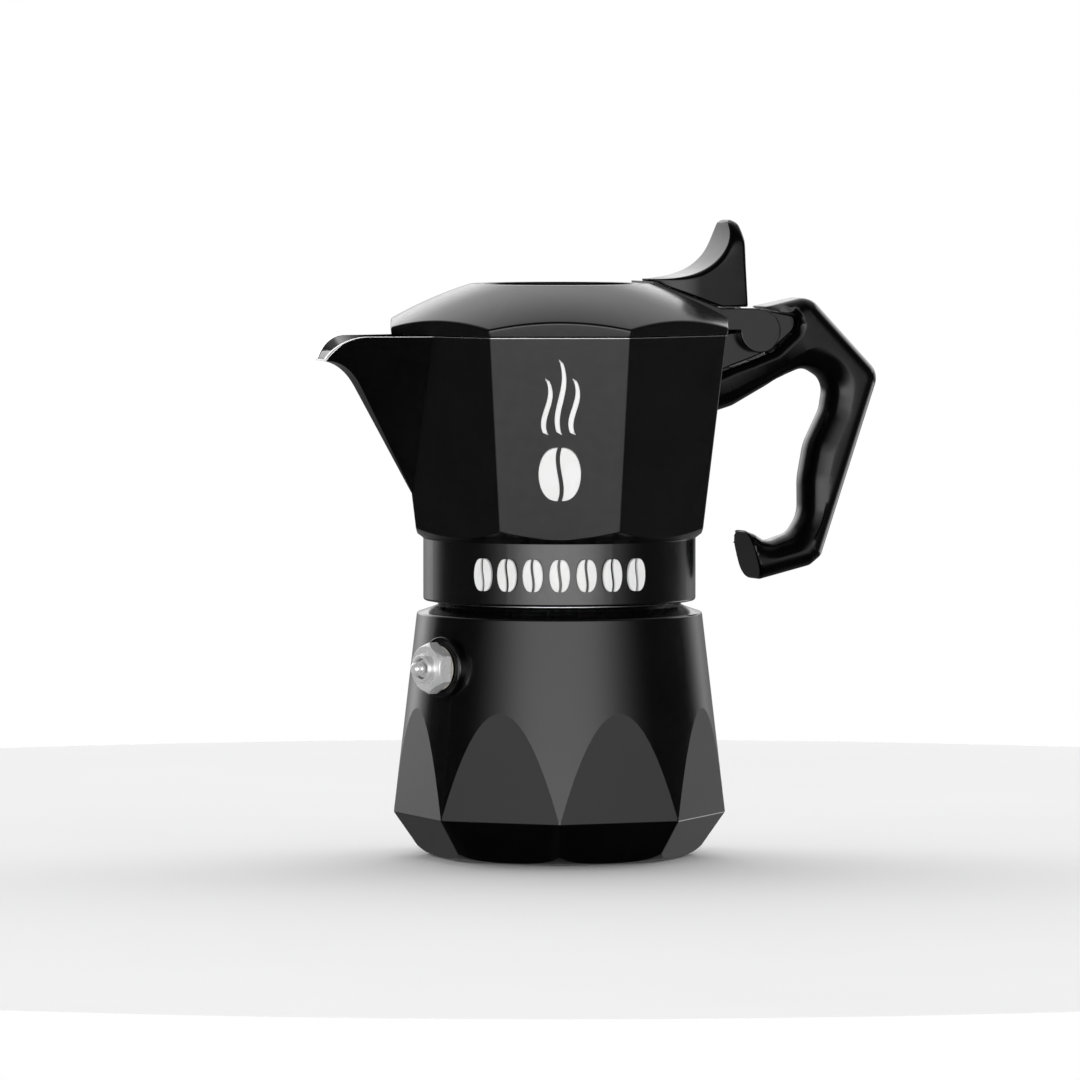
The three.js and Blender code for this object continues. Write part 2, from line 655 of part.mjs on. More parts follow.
// ---- assembly ---------------------------------------------------------------------------
const strainerRings = [[0, 1], [7.5, 6], [14, 10], [20.5, 14]];
const plateRings = [[0, 1], [8, 6], [15, 10], [22, 14]];
const handleScrewNode = piece('handle_screw', handleScrew(), steel);
handleScrewNode.position.x = HANDLE_SCREW_X;
const lidScrewFront = piece('lid_screw_front', lidScrew(146.7, 153), steel);
lidScrewFront.position.x = LID_SCREW_X[0];
const lidScrewRear = piece('lid_screw_rear', lidScrew(142.9, 153), steel);
lidScrewRear.position.x = LID_SCREW_X[1];

const group = new THREE.Group();
group.add(
  piece('boiler', boiler(), blackPaint),
  valve(),
  piece('funnel_basket', funnelBasket(), aluminium),
  piece('funnel_stem', funnelStem(), aluminium),
  piece('funnel_strainer', perforated(25.5, BASKET_FLOOR_Z + GAP, 0.6, strainerRings, 0.8), aluminium),
  piece('gasket', tube(GASKET_R, GASKET_BORE_R, GASKET_Z, GASKET_Z + GASKET_HEIGHT), rubber),
  piece('filter_plate', perforated(PLATE_R, GASKET_Z + GASKET_HEIGHT + GAP, PLATE_HEIGHT, plateRings, 0.8),
    aluminium),
  piece('collector', collector(), blackPaint),
  piece('column', column(), aluminium),
  piece('handle', handle(), blackPlastic),
  handleScrewNode,
  piece('hinge_pin', crossRod(PIN_R, HINGE_X, HINGE_Z, -ARM_HALF + 0.9, ARM_HALF), steel),
  piece('lid', lid(), blackPaint),
  piece('lid_top_disc', rod(DISC_R - GAP, DISC_FLOOR_Z + GAP, DISC_TOP_Z, ROUND), blackPaint),
  piece('lid_bracket', lidBracket(), blackPaint),
  piece('thumb_lever', thumbLever(), blackPlastic),
  lidScrewFront,
  lidScrewRear,
  emblemNode(),
  piece('band_ornament', bandOrnament(), whiteEnamel),
);

export default group;
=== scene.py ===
"""The looks of a black three-cup moka pot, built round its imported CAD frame.

Shapes are worked out in millimetres in the frame's axes (+Z up, +X to the handle, -X to the
spout) and turned into metres when a piece is made.
"""
import math

import bmesh
import bpy
import numpy as np
from mathutils import Matrix, Vector
from mathutils.geometry import delaunay_2d_cdt


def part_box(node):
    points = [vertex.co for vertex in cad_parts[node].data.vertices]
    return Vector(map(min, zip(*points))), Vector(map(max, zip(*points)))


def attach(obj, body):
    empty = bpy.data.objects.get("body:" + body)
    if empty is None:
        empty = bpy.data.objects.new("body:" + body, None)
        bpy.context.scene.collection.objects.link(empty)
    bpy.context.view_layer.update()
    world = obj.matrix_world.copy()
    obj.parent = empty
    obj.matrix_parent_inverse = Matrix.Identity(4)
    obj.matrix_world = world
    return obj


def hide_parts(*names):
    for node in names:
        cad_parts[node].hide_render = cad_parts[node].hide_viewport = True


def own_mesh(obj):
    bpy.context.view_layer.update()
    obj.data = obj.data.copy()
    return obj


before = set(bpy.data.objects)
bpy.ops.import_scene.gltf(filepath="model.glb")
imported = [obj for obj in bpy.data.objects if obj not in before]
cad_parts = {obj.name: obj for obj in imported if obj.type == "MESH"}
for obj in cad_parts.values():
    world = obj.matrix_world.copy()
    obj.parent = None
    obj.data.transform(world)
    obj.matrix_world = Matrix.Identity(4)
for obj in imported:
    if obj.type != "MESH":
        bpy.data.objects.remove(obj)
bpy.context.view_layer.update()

MM = 0.001
WELD = 0.004 * MM  # points closer than this are one point
SMOOTH_BELOW = math.radians(38)  # edges that bend more than this stay sharp

# ---- sizes, in millimetres -------------------------------------------------------------------
GAP = 0.3
FACET_TURN = math.radians(22.5)  # half of an octagon's side, seen from the axis

# boiler
BASE_FLAT_R = 31.5
BASE_EDGE_R = 10.0
LOWER_APOTHEM = 35.85  # of the lower facets, at LOWER_Z
LOWER_Z = 3.4
WIDEST_APOTHEM = 41.08
WIDEST_Z = 11.5
CONE_R = 44.46  # of the round cone at the widest line
CONE_SLOPE = 0.1163
SHOULDER_Z = 65.3
NECK_R = 32.1
NECK_BORE_R = 27.0
NECK_TOP_Z = 77.0
THREAD_PITCH = 3.0

# collector and spout
RIM_Z = 139.9
RIM_APOTHEM = 44.4
FACET_SLOPE = 0.1195
WALL = 2.6
BAND_R = 36.5
BAND_TOP_Z = 85.3
BAND_BOTTOM_Z = 68.6
BAND_BORE_R = 32.95
UNDERSIDE_Z = 86.5
UNDERSIDE_R = 38.1
UNDERSIDE_SLOPE = 1.632
SPOUT_ROOT = (-42.1, 14.3)  # X and half width where the lip leaves the cup
SPOUT_APEX = (-42.6, 98.0)  # X and Z of its lowest point
SPOUT_TIP = (-68.4, 133.9)
SPOUT_TIP_HALF = 3.6
LIP_DROP_X = -58.5  # beyond this X the lip curves down, with the radius below
LIP_DROP_R = 11.2
SPOUT_WALL = 1.7

# lid, hinge, lever and handle
LID_APOTHEM = 44.7
LID_BOTTOM_Z = 140.2
LID_WALL = 2.2
CROWN_WALL = 2.5
LID_TOP_R = 24.0
LID_TOP_Z = 153.3
DISC_R = 20.6
DISC_FLOOR_Z = 151.2
HINGE = (55.5, 140.2)  # X and Z of the pin
BARREL_R = 5.9
ARM_HALF = 7.9
LUG_HALF = 5.0
LEVER_HALF = 8.0
LEVER_ROUND_Z = 162.4
LEVER_WIDE_X = 38.0  # it narrows in front of this X
LEVER_POINT = 13.5  # length over which it narrows to its front tip
HANDLE_HALF = 7.4
BOLT_X = 61.5

# safety valve, along its own axis
VALVE_Z = 52.0
VALVE_TURN = math.radians(-162.5)
NUT = (42.4, 46.4)
NUT_APOTHEM = 5.975
SPRING = (39.54, 46.16)  # its two ends
SPRING_R = 2.1
SPRING_TURNS = 6
WIRE_R = 0.26

# ornament
BADGE_Z = 104
BAND_BEANS = 7
BEAN_PITCH = math.radians(11)
BEAN_HEIGHT = 0.9


# ---- outlines and profiles ---------------------------------------------------------------------
def corner_arc(before, here, after, radius, steps):
    """Points of the arc that rounds one corner; it shrinks where the neighbours are near."""
    before, here, after = (np.asarray(p, float) for p in (before, here, after))
    back, on = before - here, after - here
    back_length, on_length = np.linalg.norm(back), np.linalg.norm(on)
    if min(back_length, on_length) < 1e-6:
        return [here] * (steps + 1)
    back, on = back / back_length, on / on_length
    half_turn = math.acos(max(-1.0, min(1.0, float(-back @ on)))) / 2
    reach = min(radius * math.tan(min(half_turn, 1.5)), 0.48 * back_length, 0.48 * on_length)
    start, end, weight = here + back * reach, here + on * reach, math.cos(half_turn)
    points = []
    for k in range(steps + 1):
        t = k / steps
        near, middle, far = (1 - t) ** 2, 2 * weight * t * (1 - t), t * t
        points.append((near * start + middle * here + far * end) / (near + middle + far))
    return points


def rounded(corners, steps=4):
    """A profile from (r, z, radius, finish) corners. A finish holds until the next one is given."""
    points, finishes, finish = [], [], 0
    for i, (r, z, radius, *rest) in enumerate(corners):
        finish = rest[0] if rest else finish
        arc = [np.array((r, z), float)]
        if radius:
            arc = corner_arc(corners[i - 1][:2], (r, z), corners[i + 1][:2], radius, steps)
        points += arc
        finishes += [finish] * len(arc)
    return points, finishes


def polygon_columns(sides, middle, rounding, spacing=2.5):
    """(angle, factor) round a polygon with rounded corners; factor times the apothem is the radius.
    middle is the angle of one side's middle, rounding the corner radius as a share of the apothem."""
    half = math.pi / sides
    centre = (1 - rounding) / math.cos(half)
    arc = math.atan(rounding * math.sin(half) / (centre + rounding * math.cos(half)))
    count = max(2, round(math.degrees(2 * (half - arc)) / spacing))
    columns = []
    for side in range(sides):
        side_middle = middle + 2 * half * side
        for k in range(count + 1):
            off = (half - arc) * (2 * k / count - 1)
            columns.append((side_middle + off, 1 / math.cos(off)))
        for k in range(1, 4):
            off = arc * (k / 2 - 1)
            factor = centre * math.cos(off) + math.sqrt(rounding**2 - (centre * math.sin(off)) ** 2)
            columns.append((side_middle + half + off, factor))
    return columns


def round_columns(count):
    return [(2 * math.pi * k / count, 1.0) for k in range(count)]


def stitched(columns, finishes, ring=True):
    """Quads between neighbouring columns of points: (points, faces, finish of each face)."""
    rows = len(columns[0])
    points = [tuple(p) for column in columns for p in column]
    faces, tags = [], []
    for i in range(len(columns) if ring else len(columns) - 1):
        a, b = i * rows, ((i + 1) % len(columns)) * rows
        for j in range(rows - 1):
            faces.append((a + j, b + j, b + j + 1, a + j + 1))
            tags.append(finishes[j])
    return points, faces, tags


def turned(columns, profile):
    """A body turned about Z. profile(angle, factor) gives (points, finishes) for a column."""
    lines = []
    for angle, factor in columns:
        points, finishes = profile(angle, factor)
        lines.append([(r * math.cos(angle), r * math.sin(angle), z) for r, z in points])
    return stitched(lines, finishes)


def lathe(corners, count=96, steps=4):
    shape = rounded(corners, steps)
    return turned(round_columns(count), lambda angle, factor: shape)


def ring_corners(corners):
    """A profile that closes on itself."""
    return [*corners, (*corners[0][:2], 0)]


def outline(corners, spacing=0.9):
    """A closed outline from (x, z, radius, edge) corners: its points, and the edge radius at each."""
    places, edges = [], []
    for i, (x, z, radius, edge) in enumerate(corners):
        before, after = corners[i - 1], corners[(i + 1) % len(corners)]
        arc = [np.array((x, z), float)]
        if radius:
            arc = corner_arc(before[:2], (x, z), after[:2], radius, max(5, round(radius / 0.6)))
        places += arc
        edges += [edge] * len(arc)
    points, radii = [], []
    for i, (place, edge) in enumerate(zip(places, edges)):
        after = places[(i + 1) % len(places)]
        count = max(1, round(np.linalg.norm(after - place) / spacing))
        for k in range(count):
            points.append(place + (after - place) * k / count)
            radii.append(edge + (edges[(i + 1) % len(edges)] - edge) * k / count)
    return np.array(points), np.array(radii)


def room_inside(points, inward):
    """How far each point can move inward before it meets the middle line of the outline."""
    between = points[None] - points[:, None]
    along = (between * inward[:, None]).sum(-1)
    square = (between**2).sum(-1)
    return np.where(along > 1e-6, square / np.maximum(2 * along, 1e-9), 1e9).min(1)


def plate(points, edge, half, place, steps=6):
    """A plate of a counter-clockwise outline, with its edges rounded on both sides.
    place(u, v, w) puts a point of the plate, with w across its thickness, where it belongs."""
    tangent = np.roll(points, -1, 0) - np.roll(points, 1, 0)
    tangent /= np.linalg.norm(tangent, axis=1)[:, None]
    inward = np.stack([-tangent[:, 1], tangent[:, 0]], 1)
    room = 0.96 * room_inside(points, inward)
    count = len(points)
    flat, heights = [], []
    for k in range(steps + 1):
        depth = np.minimum(edge * (1 - math.cos(k / steps * math.pi / 2)), room)
        flat.append(points + inward * depth[:, None])
        heights.append(half - edge + np.sqrt(np.maximum(edge**2 - (edge - depth) ** 2, 0)))
    fill = delaunay_2d_cdt([Vector(p) for p in flat[-1]], [], [list(range(count))], 1, 1e-5)
    vertices, faces = [], []
    for side in (1, -1):
        base = len(vertices)
        for ring, height in zip(flat, heights):
            vertices += [place(u, v, side * w) for (u, v), w in zip(ring, height)]
        for k in range(steps):
            for i in range(count):
                a, b = base + k * count + i, base + k * count + (i + 1) % count
                faces.append((a, b, b + count, a + count))
        inner = []
        for point, origins in zip(fill[0], fill[3]):
            if origins:
                inner.append(base + steps * count + origins[0])
            else:
                inner.append(len(vertices))
                vertices.append(place(point.x, point.y, side * half))
        faces += [tuple(inner[i] for i in face) for face in fill[2]]
    other = len(vertices) // 2
    for i in range(count):
        j = (i + 1) % count
        faces.append((i, j, other + j, other + i))
    return vertices, faces, [0] * len(faces)


def upright(u, v, w):
    """A plate that stands along X and Z, its thickness along Y."""
    return u, w, v


# ---- making pieces -----------------------------------------------------------------------------
def mesh_object(name, shape, finishes=()):
    vertices, faces, tags = shape
    data = bpy.data.meshes.new(name)
    data.from_pydata([tuple(c * MM for c in v) for v in vertices], [], faces)
    data.polygons.foreach_set("material_index", tags)
    for finish in finishes:
        data.materials.append(finish)
    obj = bpy.data.objects.new(name, data)
    bpy.context.scene.collection.objects.link(obj)
    edit = bmesh.new()
    edit.from_mesh(data)
    bmesh.ops.remove_doubles(edit, verts=edit.verts, dist=WELD)
    bmesh.ops.dissolve_degenerate(edit, edges=edit.edges, dist=WELD)
    bmesh.ops.recalc_face_normals(edit, faces=edit.faces)
    edit.to_mesh(data)
    edit.free()
    return obj


def carve(obj, cutter, operation="DIFFERENCE", solver="EXACT"):
    """Applies a boolean with the cutter, and removes the cutter."""
    modifier = obj.modifiers.new("carve", "BOOLEAN")
    modifier.operation, modifier.solver, modifier.object = operation, solver, cutter
    bpy.context.view_layer.update()
    cut = bpy.data.meshes.new_from_object(obj.evaluated_get(bpy.context.evaluated_depsgraph_get()))
    obj.modifiers.clear()
    obj.data = cut
    bpy.data.objects.remove(cutter)


def finished(obj, body, slot, *nodes):
    """Smooths a piece between its sharp edges and puts it on its body."""
    obj.data.shade_smooth()
    obj.data.set_sharp_from_angle(angle=SMOOTH_BELOW)
    weighted = obj.modifiers.new("weighted", "WEIGHTED_NORMAL")
    weighted.keep_sharp, weighted.weight = True, 60
    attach(obj, body)
    if nodes:
        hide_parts(*nodes)
    return obj


def piece(name, shape, finishes, body, slot, *nodes):
    return finished(mesh_object(name, shape, finishes), body, slot, *nodes)


def box_shape(x0, x1, y0, y1, z0, z1):
    corners = [(x, y, z) for x in (x0, x1) for y in (y0, y1) for z in (z0, z1)]
    faces = [(0, 1, 3, 2), (4, 6, 7, 5), (0, 4, 5, 1), (2, 3, 7, 6), (0, 2, 6, 4), (1, 5, 7, 3)]
    return corners, faces, [0] * 6


def moved(shape, matrix):
    vertices, faces, tags = shape
    return [tuple(matrix @ Vector(v)) for v in vertices], faces, tags


def joined(shapes):
    vertices, faces, tags = [], [], []
    for some_vertices, some_faces, some_tags in shapes:
        base = len(vertices)
        vertices += some_vertices
        faces += [tuple(base + i for i in face) for face in some_faces]
        tags += some_tags
    return vertices, faces, tags


# ---- materials ---------------------------------------------------------------------------------
class Nodes:
    """A short way to write a node tree."""

    def __init__(self, tree):
        self.tree = tree
        self.tree.nodes.clear()

    def add(self, kind, inputs=None, **settings):
        node = self.tree.nodes.new("ShaderNode" + kind)
        for key, value in settings.items():
            setattr(node, key, value)
        for key, value in (inputs or {}).items():
            if isinstance(value, bpy.types.NodeSocket):
                self.tree.links.new(value, node.inputs[key])
            else:
                node.inputs[key].default_value = value
        return node

    def noise(self, scale, detail=3.0, stretch=(1, 1, 1)):
        place = self.add("TexCoord").outputs["Object"]
        mapped = self.add("Mapping", {"Vector": place, "Scale": stretch}).outputs["Vector"]
        return self.add("TexNoise", {"Vector": mapped, "Scale": scale, "Detail": detail}).outputs["Fac"]

    def spread(self, value, low, high, start=0.3, end=0.7):
        spread = {"Value": value, "From Min": start, "From Max": end, "To Min": low, "To Max": high}
        return self.add("MapRange", spread).outputs["Result"]


def new_finish(name):
    finish = bpy.data.materials.new(name)
    finish.use_nodes = True
    return finish, Nodes(finish.node_tree)


def surface(name, colours, roughness, texture, wear=None, **settings):
    """A finish whose colour and roughness drift between two values, over a fine texture.
    texture is (scale, height in metres, stretch); wear is (colour, strength) on outer edges."""
    finish, nodes = new_finish(name)
    scale, height, stretch = texture
    drift = nodes.spread(nodes.noise(90.0), 0.0, 1.0)
    grain = nodes.noise(scale, 4.0, stretch)
    colour = nodes.add("Mix", {"Factor": drift, "A": colours[0], "B": colours[1]}, data_type="RGBA")
    colour = colour.outputs["Result"]
    patches = nodes.add("Math", {0: nodes.noise(35.0), 1: nodes.noise(420.0, 2.0)}, operation="ADD")
    rough = nodes.spread(patches.outputs[0], roughness[0], roughness[1], 0.7, 1.3)
    if wear:
        edge = nodes.add("NewGeometry").outputs["Pointiness"]
        edge = nodes.spread(edge, 0.0, wear[1], 0.53, 0.6)
        mixed = {"Factor": edge, "A": colour, "B": wear[0]}
        colour = nodes.add("Mix", mixed, data_type="RGBA").outputs["Result"]
    bump = nodes.add("Bump", {"Height": grain, "Distance": height, "Strength": 1.0}).outputs["Normal"]
    shader = nodes.add("BsdfPrincipled", {
        "Base Color": colour, "Roughness": rough, "Normal": bump, **settings,
    })
    nodes.add("OutputMaterial", {"Surface": shader.outputs["BSDF"]})
    return finish


def grey(value, blue=0.0):
    return value, value, value + blue, 1.0


def turned_metal(name, colours, roughness, pitch, height):
    """Metal turned on a lathe: fine grooves round the axis of the object."""
    finish, nodes = new_finish(name)
    place = nodes.add("SeparateXYZ", {0: nodes.add("TexCoord").outputs["Object"]}).outputs
    square = [nodes.add("Math", {0: place[k], 1: place[k]}, operation="MULTIPLY").outputs[0] for k in (0, 1)]
    sum_of = nodes.add("Math", {0: square[0], 1: square[1]}, operation="ADD").outputs[0]
    radius = nodes.add("Math", {0: sum_of, 1: 0.5}, operation="POWER").outputs[0]
    along = nodes.add("CombineXYZ", {0: radius, 1: 0.0, 2: place[2]}).outputs[0]
    grooves = nodes.add("TexNoise", {"Vector": along, "Scale": 1 / pitch, "Detail": 3.0}).outputs["Fac"]
    rough = nodes.spread(nodes.noise(160.0), *roughness)
    colour = nodes.add("Mix", {"Factor": grooves, "A": colours[0], "B": colours[1]}, data_type="RGBA")
    bump = nodes.add("Bump", {"Height": grooves, "Distance": height}).outputs["Normal"]
    shader = nodes.add("BsdfPrincipled", {
        "Base Color": colour.outputs["Result"], "Roughness": rough, "Normal": bump, "Metallic": 1.0,
    })
    nodes.add("OutputMaterial", {"Surface": shader.outputs["BSDF"]})
    return finish


EVEN = (1, 1, 1)
paint = surface("black_paint", (grey(0.0012), grey(0.0022, 0.0002)), (0.17, 0.24), (900.0, 1.5e-6, EVEN),
                wear=(grey(0.006), 0.5))
plastic = surface("black_plastic", (grey(0.0012), grey(0.002)), (0.14, 0.2), (1400.0, 1.5e-6, EVEN),
                  wear=(grey(0.004), 0.4), **{"Specular IOR Level": 0.27})
polished_edge = surface("polished_edge", (grey(0.6), grey(0.5, 0.01)), (0.16, 0.26),
                        (1500.0, 2.0e-6, EVEN), Metallic=0.8)
steel = surface("bright_steel", (grey(0.9), grey(0.82, 0.01)), (0.2, 0.3), (1800.0, 1.5e-6, (1, 1, 5)),
                Metallic=0.45)
cast_metal = surface("cast_aluminium", (grey(0.62, 0.01), grey(0.5, 0.01)), (0.3, 0.45),
                     (1100.0, 1.2e-5, EVEN), Metallic=1.0)
turned_aluminium = turned_metal("turned_aluminium", (grey(0.7, 0.01), grey(0.55, 0.01)), (0.22, 0.36),
                                0.00035, 4.0e-6)
rubber = surface("seal_rubber", ((0.80, 0.77, 0.69, 1.0), (0.72, 0.69, 0.61, 1.0)), (0.55, 0.75),
                 (1300.0, 1.5e-5, EVEN))
enamel = surface("white_enamel", (grey(0.94), grey(0.89, -0.01)), (0.28, 0.42), (1200.0, 3.0e-6, EVEN),
                 wear=(grey(0.95), 0.3))


# ---- camera, floor and light ---------------------------------------------------------------------
VIEW_TURN = math.radians(-22.5)  # the camera stands this far round from straight in front
VIEW_PITCH = math.radians(2.921)
VIEW_DISTANCE = 2.3584
VIEW_SIDE = -0.0052
VIEW_HEIGHT = 0.2049
LENS = 293.7
FLOOR_R = 0.42

sideways = Vector((math.cos(VIEW_TURN), math.sin(VIEW_TURN), 0))
toward_view = Vector((math.sin(VIEW_TURN), -math.cos(VIEW_TURN), 0))


def add_camera():
    data = bpy.data.cameras.new("camera")
    data.lens, data.sensor_width = LENS, 36.0
    camera = bpy.data.objects.new("camera", data)
    camera.location = toward_view * VIEW_DISTANCE + sideways * VIEW_SIDE + Vector((0, 0, VIEW_HEIGHT))
    camera.rotation_euler = (math.pi / 2 - VIEW_PITCH, 0, VIEW_TURN)
    bpy.context.scene.collection.objects.link(camera)
    bpy.context.scene.camera = camera


def add_floor():
    finish, nodes = new_finish("floor")
    tone = nodes.spread(nodes.noise(6.0), 0.88, 0.9)
    colour = nodes.add("CombineColor", {0: tone, 1: tone, 2: tone}).outputs[0]
    shader = nodes.add("BsdfDiffuse", {"Color": colour})
    nodes.add("OutputMaterial", {"Surface": shader.outputs["BSDF"]})
    turn = [2 * math.pi * k / 128 for k in range(128)]
    rim = [(FLOOR_R / MM * math.cos(a), FLOOR_R / MM * math.sin(a), 0) for a in turn]
    floor = mesh_object("floor", (rim, [tuple(range(128))], [0]), [finish])
    floor.visible_glossy = False


def add_world():
    """White for the camera. Matte surfaces are lit from above and behind, from low in front, and from
    both sides. Glossy surfaces mirror a studio: a soft light in front with a brighter core, a bright
    backdrop, two panels behind on the right, and a dim ceiling and table."""
    world = bpy.data.worlds.new("studio")
    bpy.context.scene.world = world
    world.use_nodes = True
    nodes = Nodes(world.node_tree)
    way = nodes.add("TexCoord").outputs["Generated"]

    def along(direction):
        return nodes.add("VectorMath", {0: way, 1: direction}, operation="DOT_PRODUCT").outputs["Value"]

    def ramp(value, start, end, low=0.0, high=1.0):
        spread = {"Value": value, "From Min": start, "From Max": end, "To Min": low, "To Max": high}
        return nodes.add("MapRange", spread, interpolation_type="SMOOTHSTEP").outputs["Result"]

    def combine(operation, *values):
        total = values[0]
        for value in values[1:]:
            total = nodes.add("Math", {0: total, 1: value}, operation=operation).outputs[0]
        return total

    ahead, right, height = along(toward_view), along(sideways), along((0, 0, 1))
    wide = ramp(ahead, 0.16, 1.0)
    front = combine("MULTIPLY", wide, wide, ramp(height, -0.48, -0.05), ramp(height, 0.2, 0.6, 1.0, 0.0), 2.0)
    core = combine("MULTIPLY", ramp(ahead, 0.68, 1.0), ramp(height, -0.26, -0.1),
                   ramp(height, 0.03, 0.18, 1.0, 0.0), 2.6)
    backdrop = combine("MULTIPLY", ramp(ahead, -0.4, -0.85), ramp(ahead, -0.75, -1.0, 1.0, 0.22),
                       ramp(height, -0.2, 0.12), ramp(height, 0.25, 0.6, 1.0, 0.45),
                       ramp(right, -0.3, 0.5, 1.1, 0.6), 2.5)
    beside = combine("MULTIPLY", ramp(right, 0.35, 0.65), ramp(ahead, -0.2, -0.5))
    low = combine("MULTIPLY", beside, ramp(height, -0.12, -0.22), ramp(height, -0.42, -0.3), 2.6)
    high = combine("MULTIPLY", beside, ramp(height, 0.15, 0.3), ramp(height, 0.45, 0.6, 1.0, 0.0), 2.2)
    glow = combine("MULTIPLY", ramp(ahead, -0.7, -1.0), ramp(height, 0.04, 0.2),
                   ramp(height, 0.35, 0.6, 1.0, 0.0), 1.2)
    ceiling = combine("MULTIPLY", ramp(height, 0.45, 0.8), ramp(ahead, 0.3, -0.5), 0.6)
    table = combine("MULTIPLY", ramp(ahead, 0.0, -0.6), ramp(height, 0.0, -0.2), 0.1)
    sides = combine("MULTIPLY", ramp(height, 0.05, -0.12), ramp(height, -0.6, -0.3), 0.05)
    mirrored = combine("ADD", front, core, backdrop, low, high, glow, ceiling, table, sides, 0.012)
    above = combine("MULTIPLY", ramp(height, 0.0, 0.35), ramp(ahead, 0.1, -0.6), 2.25)
    level = combine("MULTIPLY", ramp(ahead, -0.2, 0.4), ramp(height, 0.15, 0.45, 1.0, 0.0), 1.6)
    across = combine("MULTIPLY", right, right)
    flank = combine("MULTIPLY", ramp(across, 0.3, 0.8), ramp(height, 0.02, 0.3), 0.8)
    scattered = combine("ADD", above, level, flank, 0.07)
    path = nodes.add("LightPath")
    matte_or_glossy = {"Factor": path.outputs["Is Glossy Ray"], "A": scattered, "B": mirrored}
    seen = nodes.add("Mix", matte_or_glossy).outputs["Result"]
    seen = nodes.add("Mix", {"Factor": path.outputs["Is Camera Ray"], "A": seen, "B": 1.0}).outputs["Result"]
    shader = nodes.add("Background", {"Color": grey(1.0), "Strength": seen})
    nodes.add("OutputWorld", {"Surface": shader.outputs["Background"]})


add_camera()
add_floor()
add_world()
bpy.context.scene.view_settings.view_transform = "Standard"

# ---- boiler ----------------------------------------------------------------------------------
boiler_columns = polygon_columns(8, 0.0, 0.02)


def base_arc_end(factor):
    """The angle at which the round lower edge meets a lower facet."""
    low, high = 0.0, 1.3
    slope = (WIDEST_APOTHEM - LOWER_APOTHEM) / (WIDEST_Z - LOWER_Z)
    for _ in range(40):
        angle = (low + high) / 2
        z = BASE_EDGE_R * (1 - math.cos(angle))
        facet_r = factor * (LOWER_APOTHEM + slope * (z - LOWER_Z))
        inside = BASE_FLAT_R + BASE_EDGE_R * math.sin(angle) < facet_r
        low, high = (angle, high) if inside else (low, angle)
    return low


def thread_rows(angle, radius, height, start, end, rows=26):
    """Rows of a right-hand thread that fades out at both ends."""
    points = []
    for k in range(rows + 1):
        z = start + (end - start) * k / rows
        fade = min(1.0, 3.0 * min(k, rows - k) / rows)
        wave = 0.5 + 0.5 * math.cos(2 * math.pi * (z / THREAD_PITCH) - angle)
        points.append((radius + height * fade * wave**0.7, z, 0))
    return points


def boiler_profile(angle, factor):
    """Finishes: 0 paint, 1 turned aluminium, 2 cast aluminium."""
    end = base_arc_end(factor)
    base = [(BASE_FLAT_R + BASE_EDGE_R * math.sin(end * k / 6), BASE_EDGE_R * (1 - math.cos(end * k / 6)), 0)
            for k in range(1, 6)]
    corner = (BASE_FLAT_R + BASE_EDGE_R * math.sin(end), BASE_EDGE_R * (1 - math.cos(end)), 0.5)
    widest = factor * WIDEST_APOTHEM
    petal_z = max(WIDEST_Z + 0.1, WIDEST_Z + (CONE_R - widest) / CONE_SLOPE)
    shoulder_r = CONE_R - CONE_SLOPE * (SHOULDER_Z - WIDEST_Z)
    return rounded([
        (0, 0.5, 0, 1), (23, 0.5, 0.4), (23.6, 0, 0.4), (BASE_FLAT_R - 1.2, 0, 0), (BASE_FLAT_R, 0, 0, 0),
        *base, corner, (widest, WIDEST_Z, 0.7), (widest, petal_z, 1.2), (shoulder_r, SHOULDER_Z, 0.7),
        (34.1, 66.7, 0.8), (32.9, 67.2, 0.3), (NECK_R, 68.2, 0.4, 1),
        *thread_rows(angle, NECK_R, 0.55, 68.8, 76.2), (NECK_R, NECK_TOP_Z, 0.5),
        (NECK_BORE_R, NECK_TOP_Z, 0.5), (NECK_BORE_R, 65.5, 1, 2), (33, 63, 3), (35, 58, 6),
        (37.2, 12, 5), (33.5, 5.5, 3), (28, 4, 3), (0, 4, 0),
    ])


boiler_finishes = [paint, turned_aluminium, cast_metal]
boiler = mesh_object("boiler_body", turned(boiler_columns, boiler_profile), boiler_finishes)
on_valve_axis = Matrix.Translation((0, 0, VALVE_Z)) @ Matrix.Rotation(VALVE_TURN, 4, "Z")
on_valve_axis = on_valve_axis @ Matrix.Rotation(math.pi / 2, 4, "Y")
boss = lathe([(0, 37.2, 0), (8.2, 37.2, 0), (8.2, 41.3, 0.5), (0, 41.3, 0)], 64)
hole = lathe([(0, 30, 0), (5.3, 30, 0), (5.3, 44, 0), (0, 44, 0)], 48)
carve(boiler, mesh_object("boss", moved(boss, on_valve_axis)), "UNION")
carve(boiler, mesh_object("hole", moved(hole, on_valve_axis)))
finished(boiler, "boiler", "black_paint", "boiler")


# ---- safety valve --------------------------------------------------------------------------------
def nut_profile(angle, factor):
    chamfer = NUT[1] - 0.1 - 1.4 * NUT_APOTHEM * (factor - 1)
    return rounded(ring_corners([
        (1.2, 35.6, 0), (5, 35.6, 0.4), (5, NUT[0], 0.1), (factor * NUT_APOTHEM, NUT[0], 0.25),
        (factor * NUT_APOTHEM, chamfer, 0.12), (5.9, NUT[1], 0.15), (4.1, NUT[1], 0.3), (3.85, 47.5, 0.5),
        (3.6, 48.2, 0.3), (2.95, 48.2, 0.15), (2.75, 47.9, 0.1), (2.75, 37.6, 0.1), (1.2, 37.6, 0),
    ]), 3)


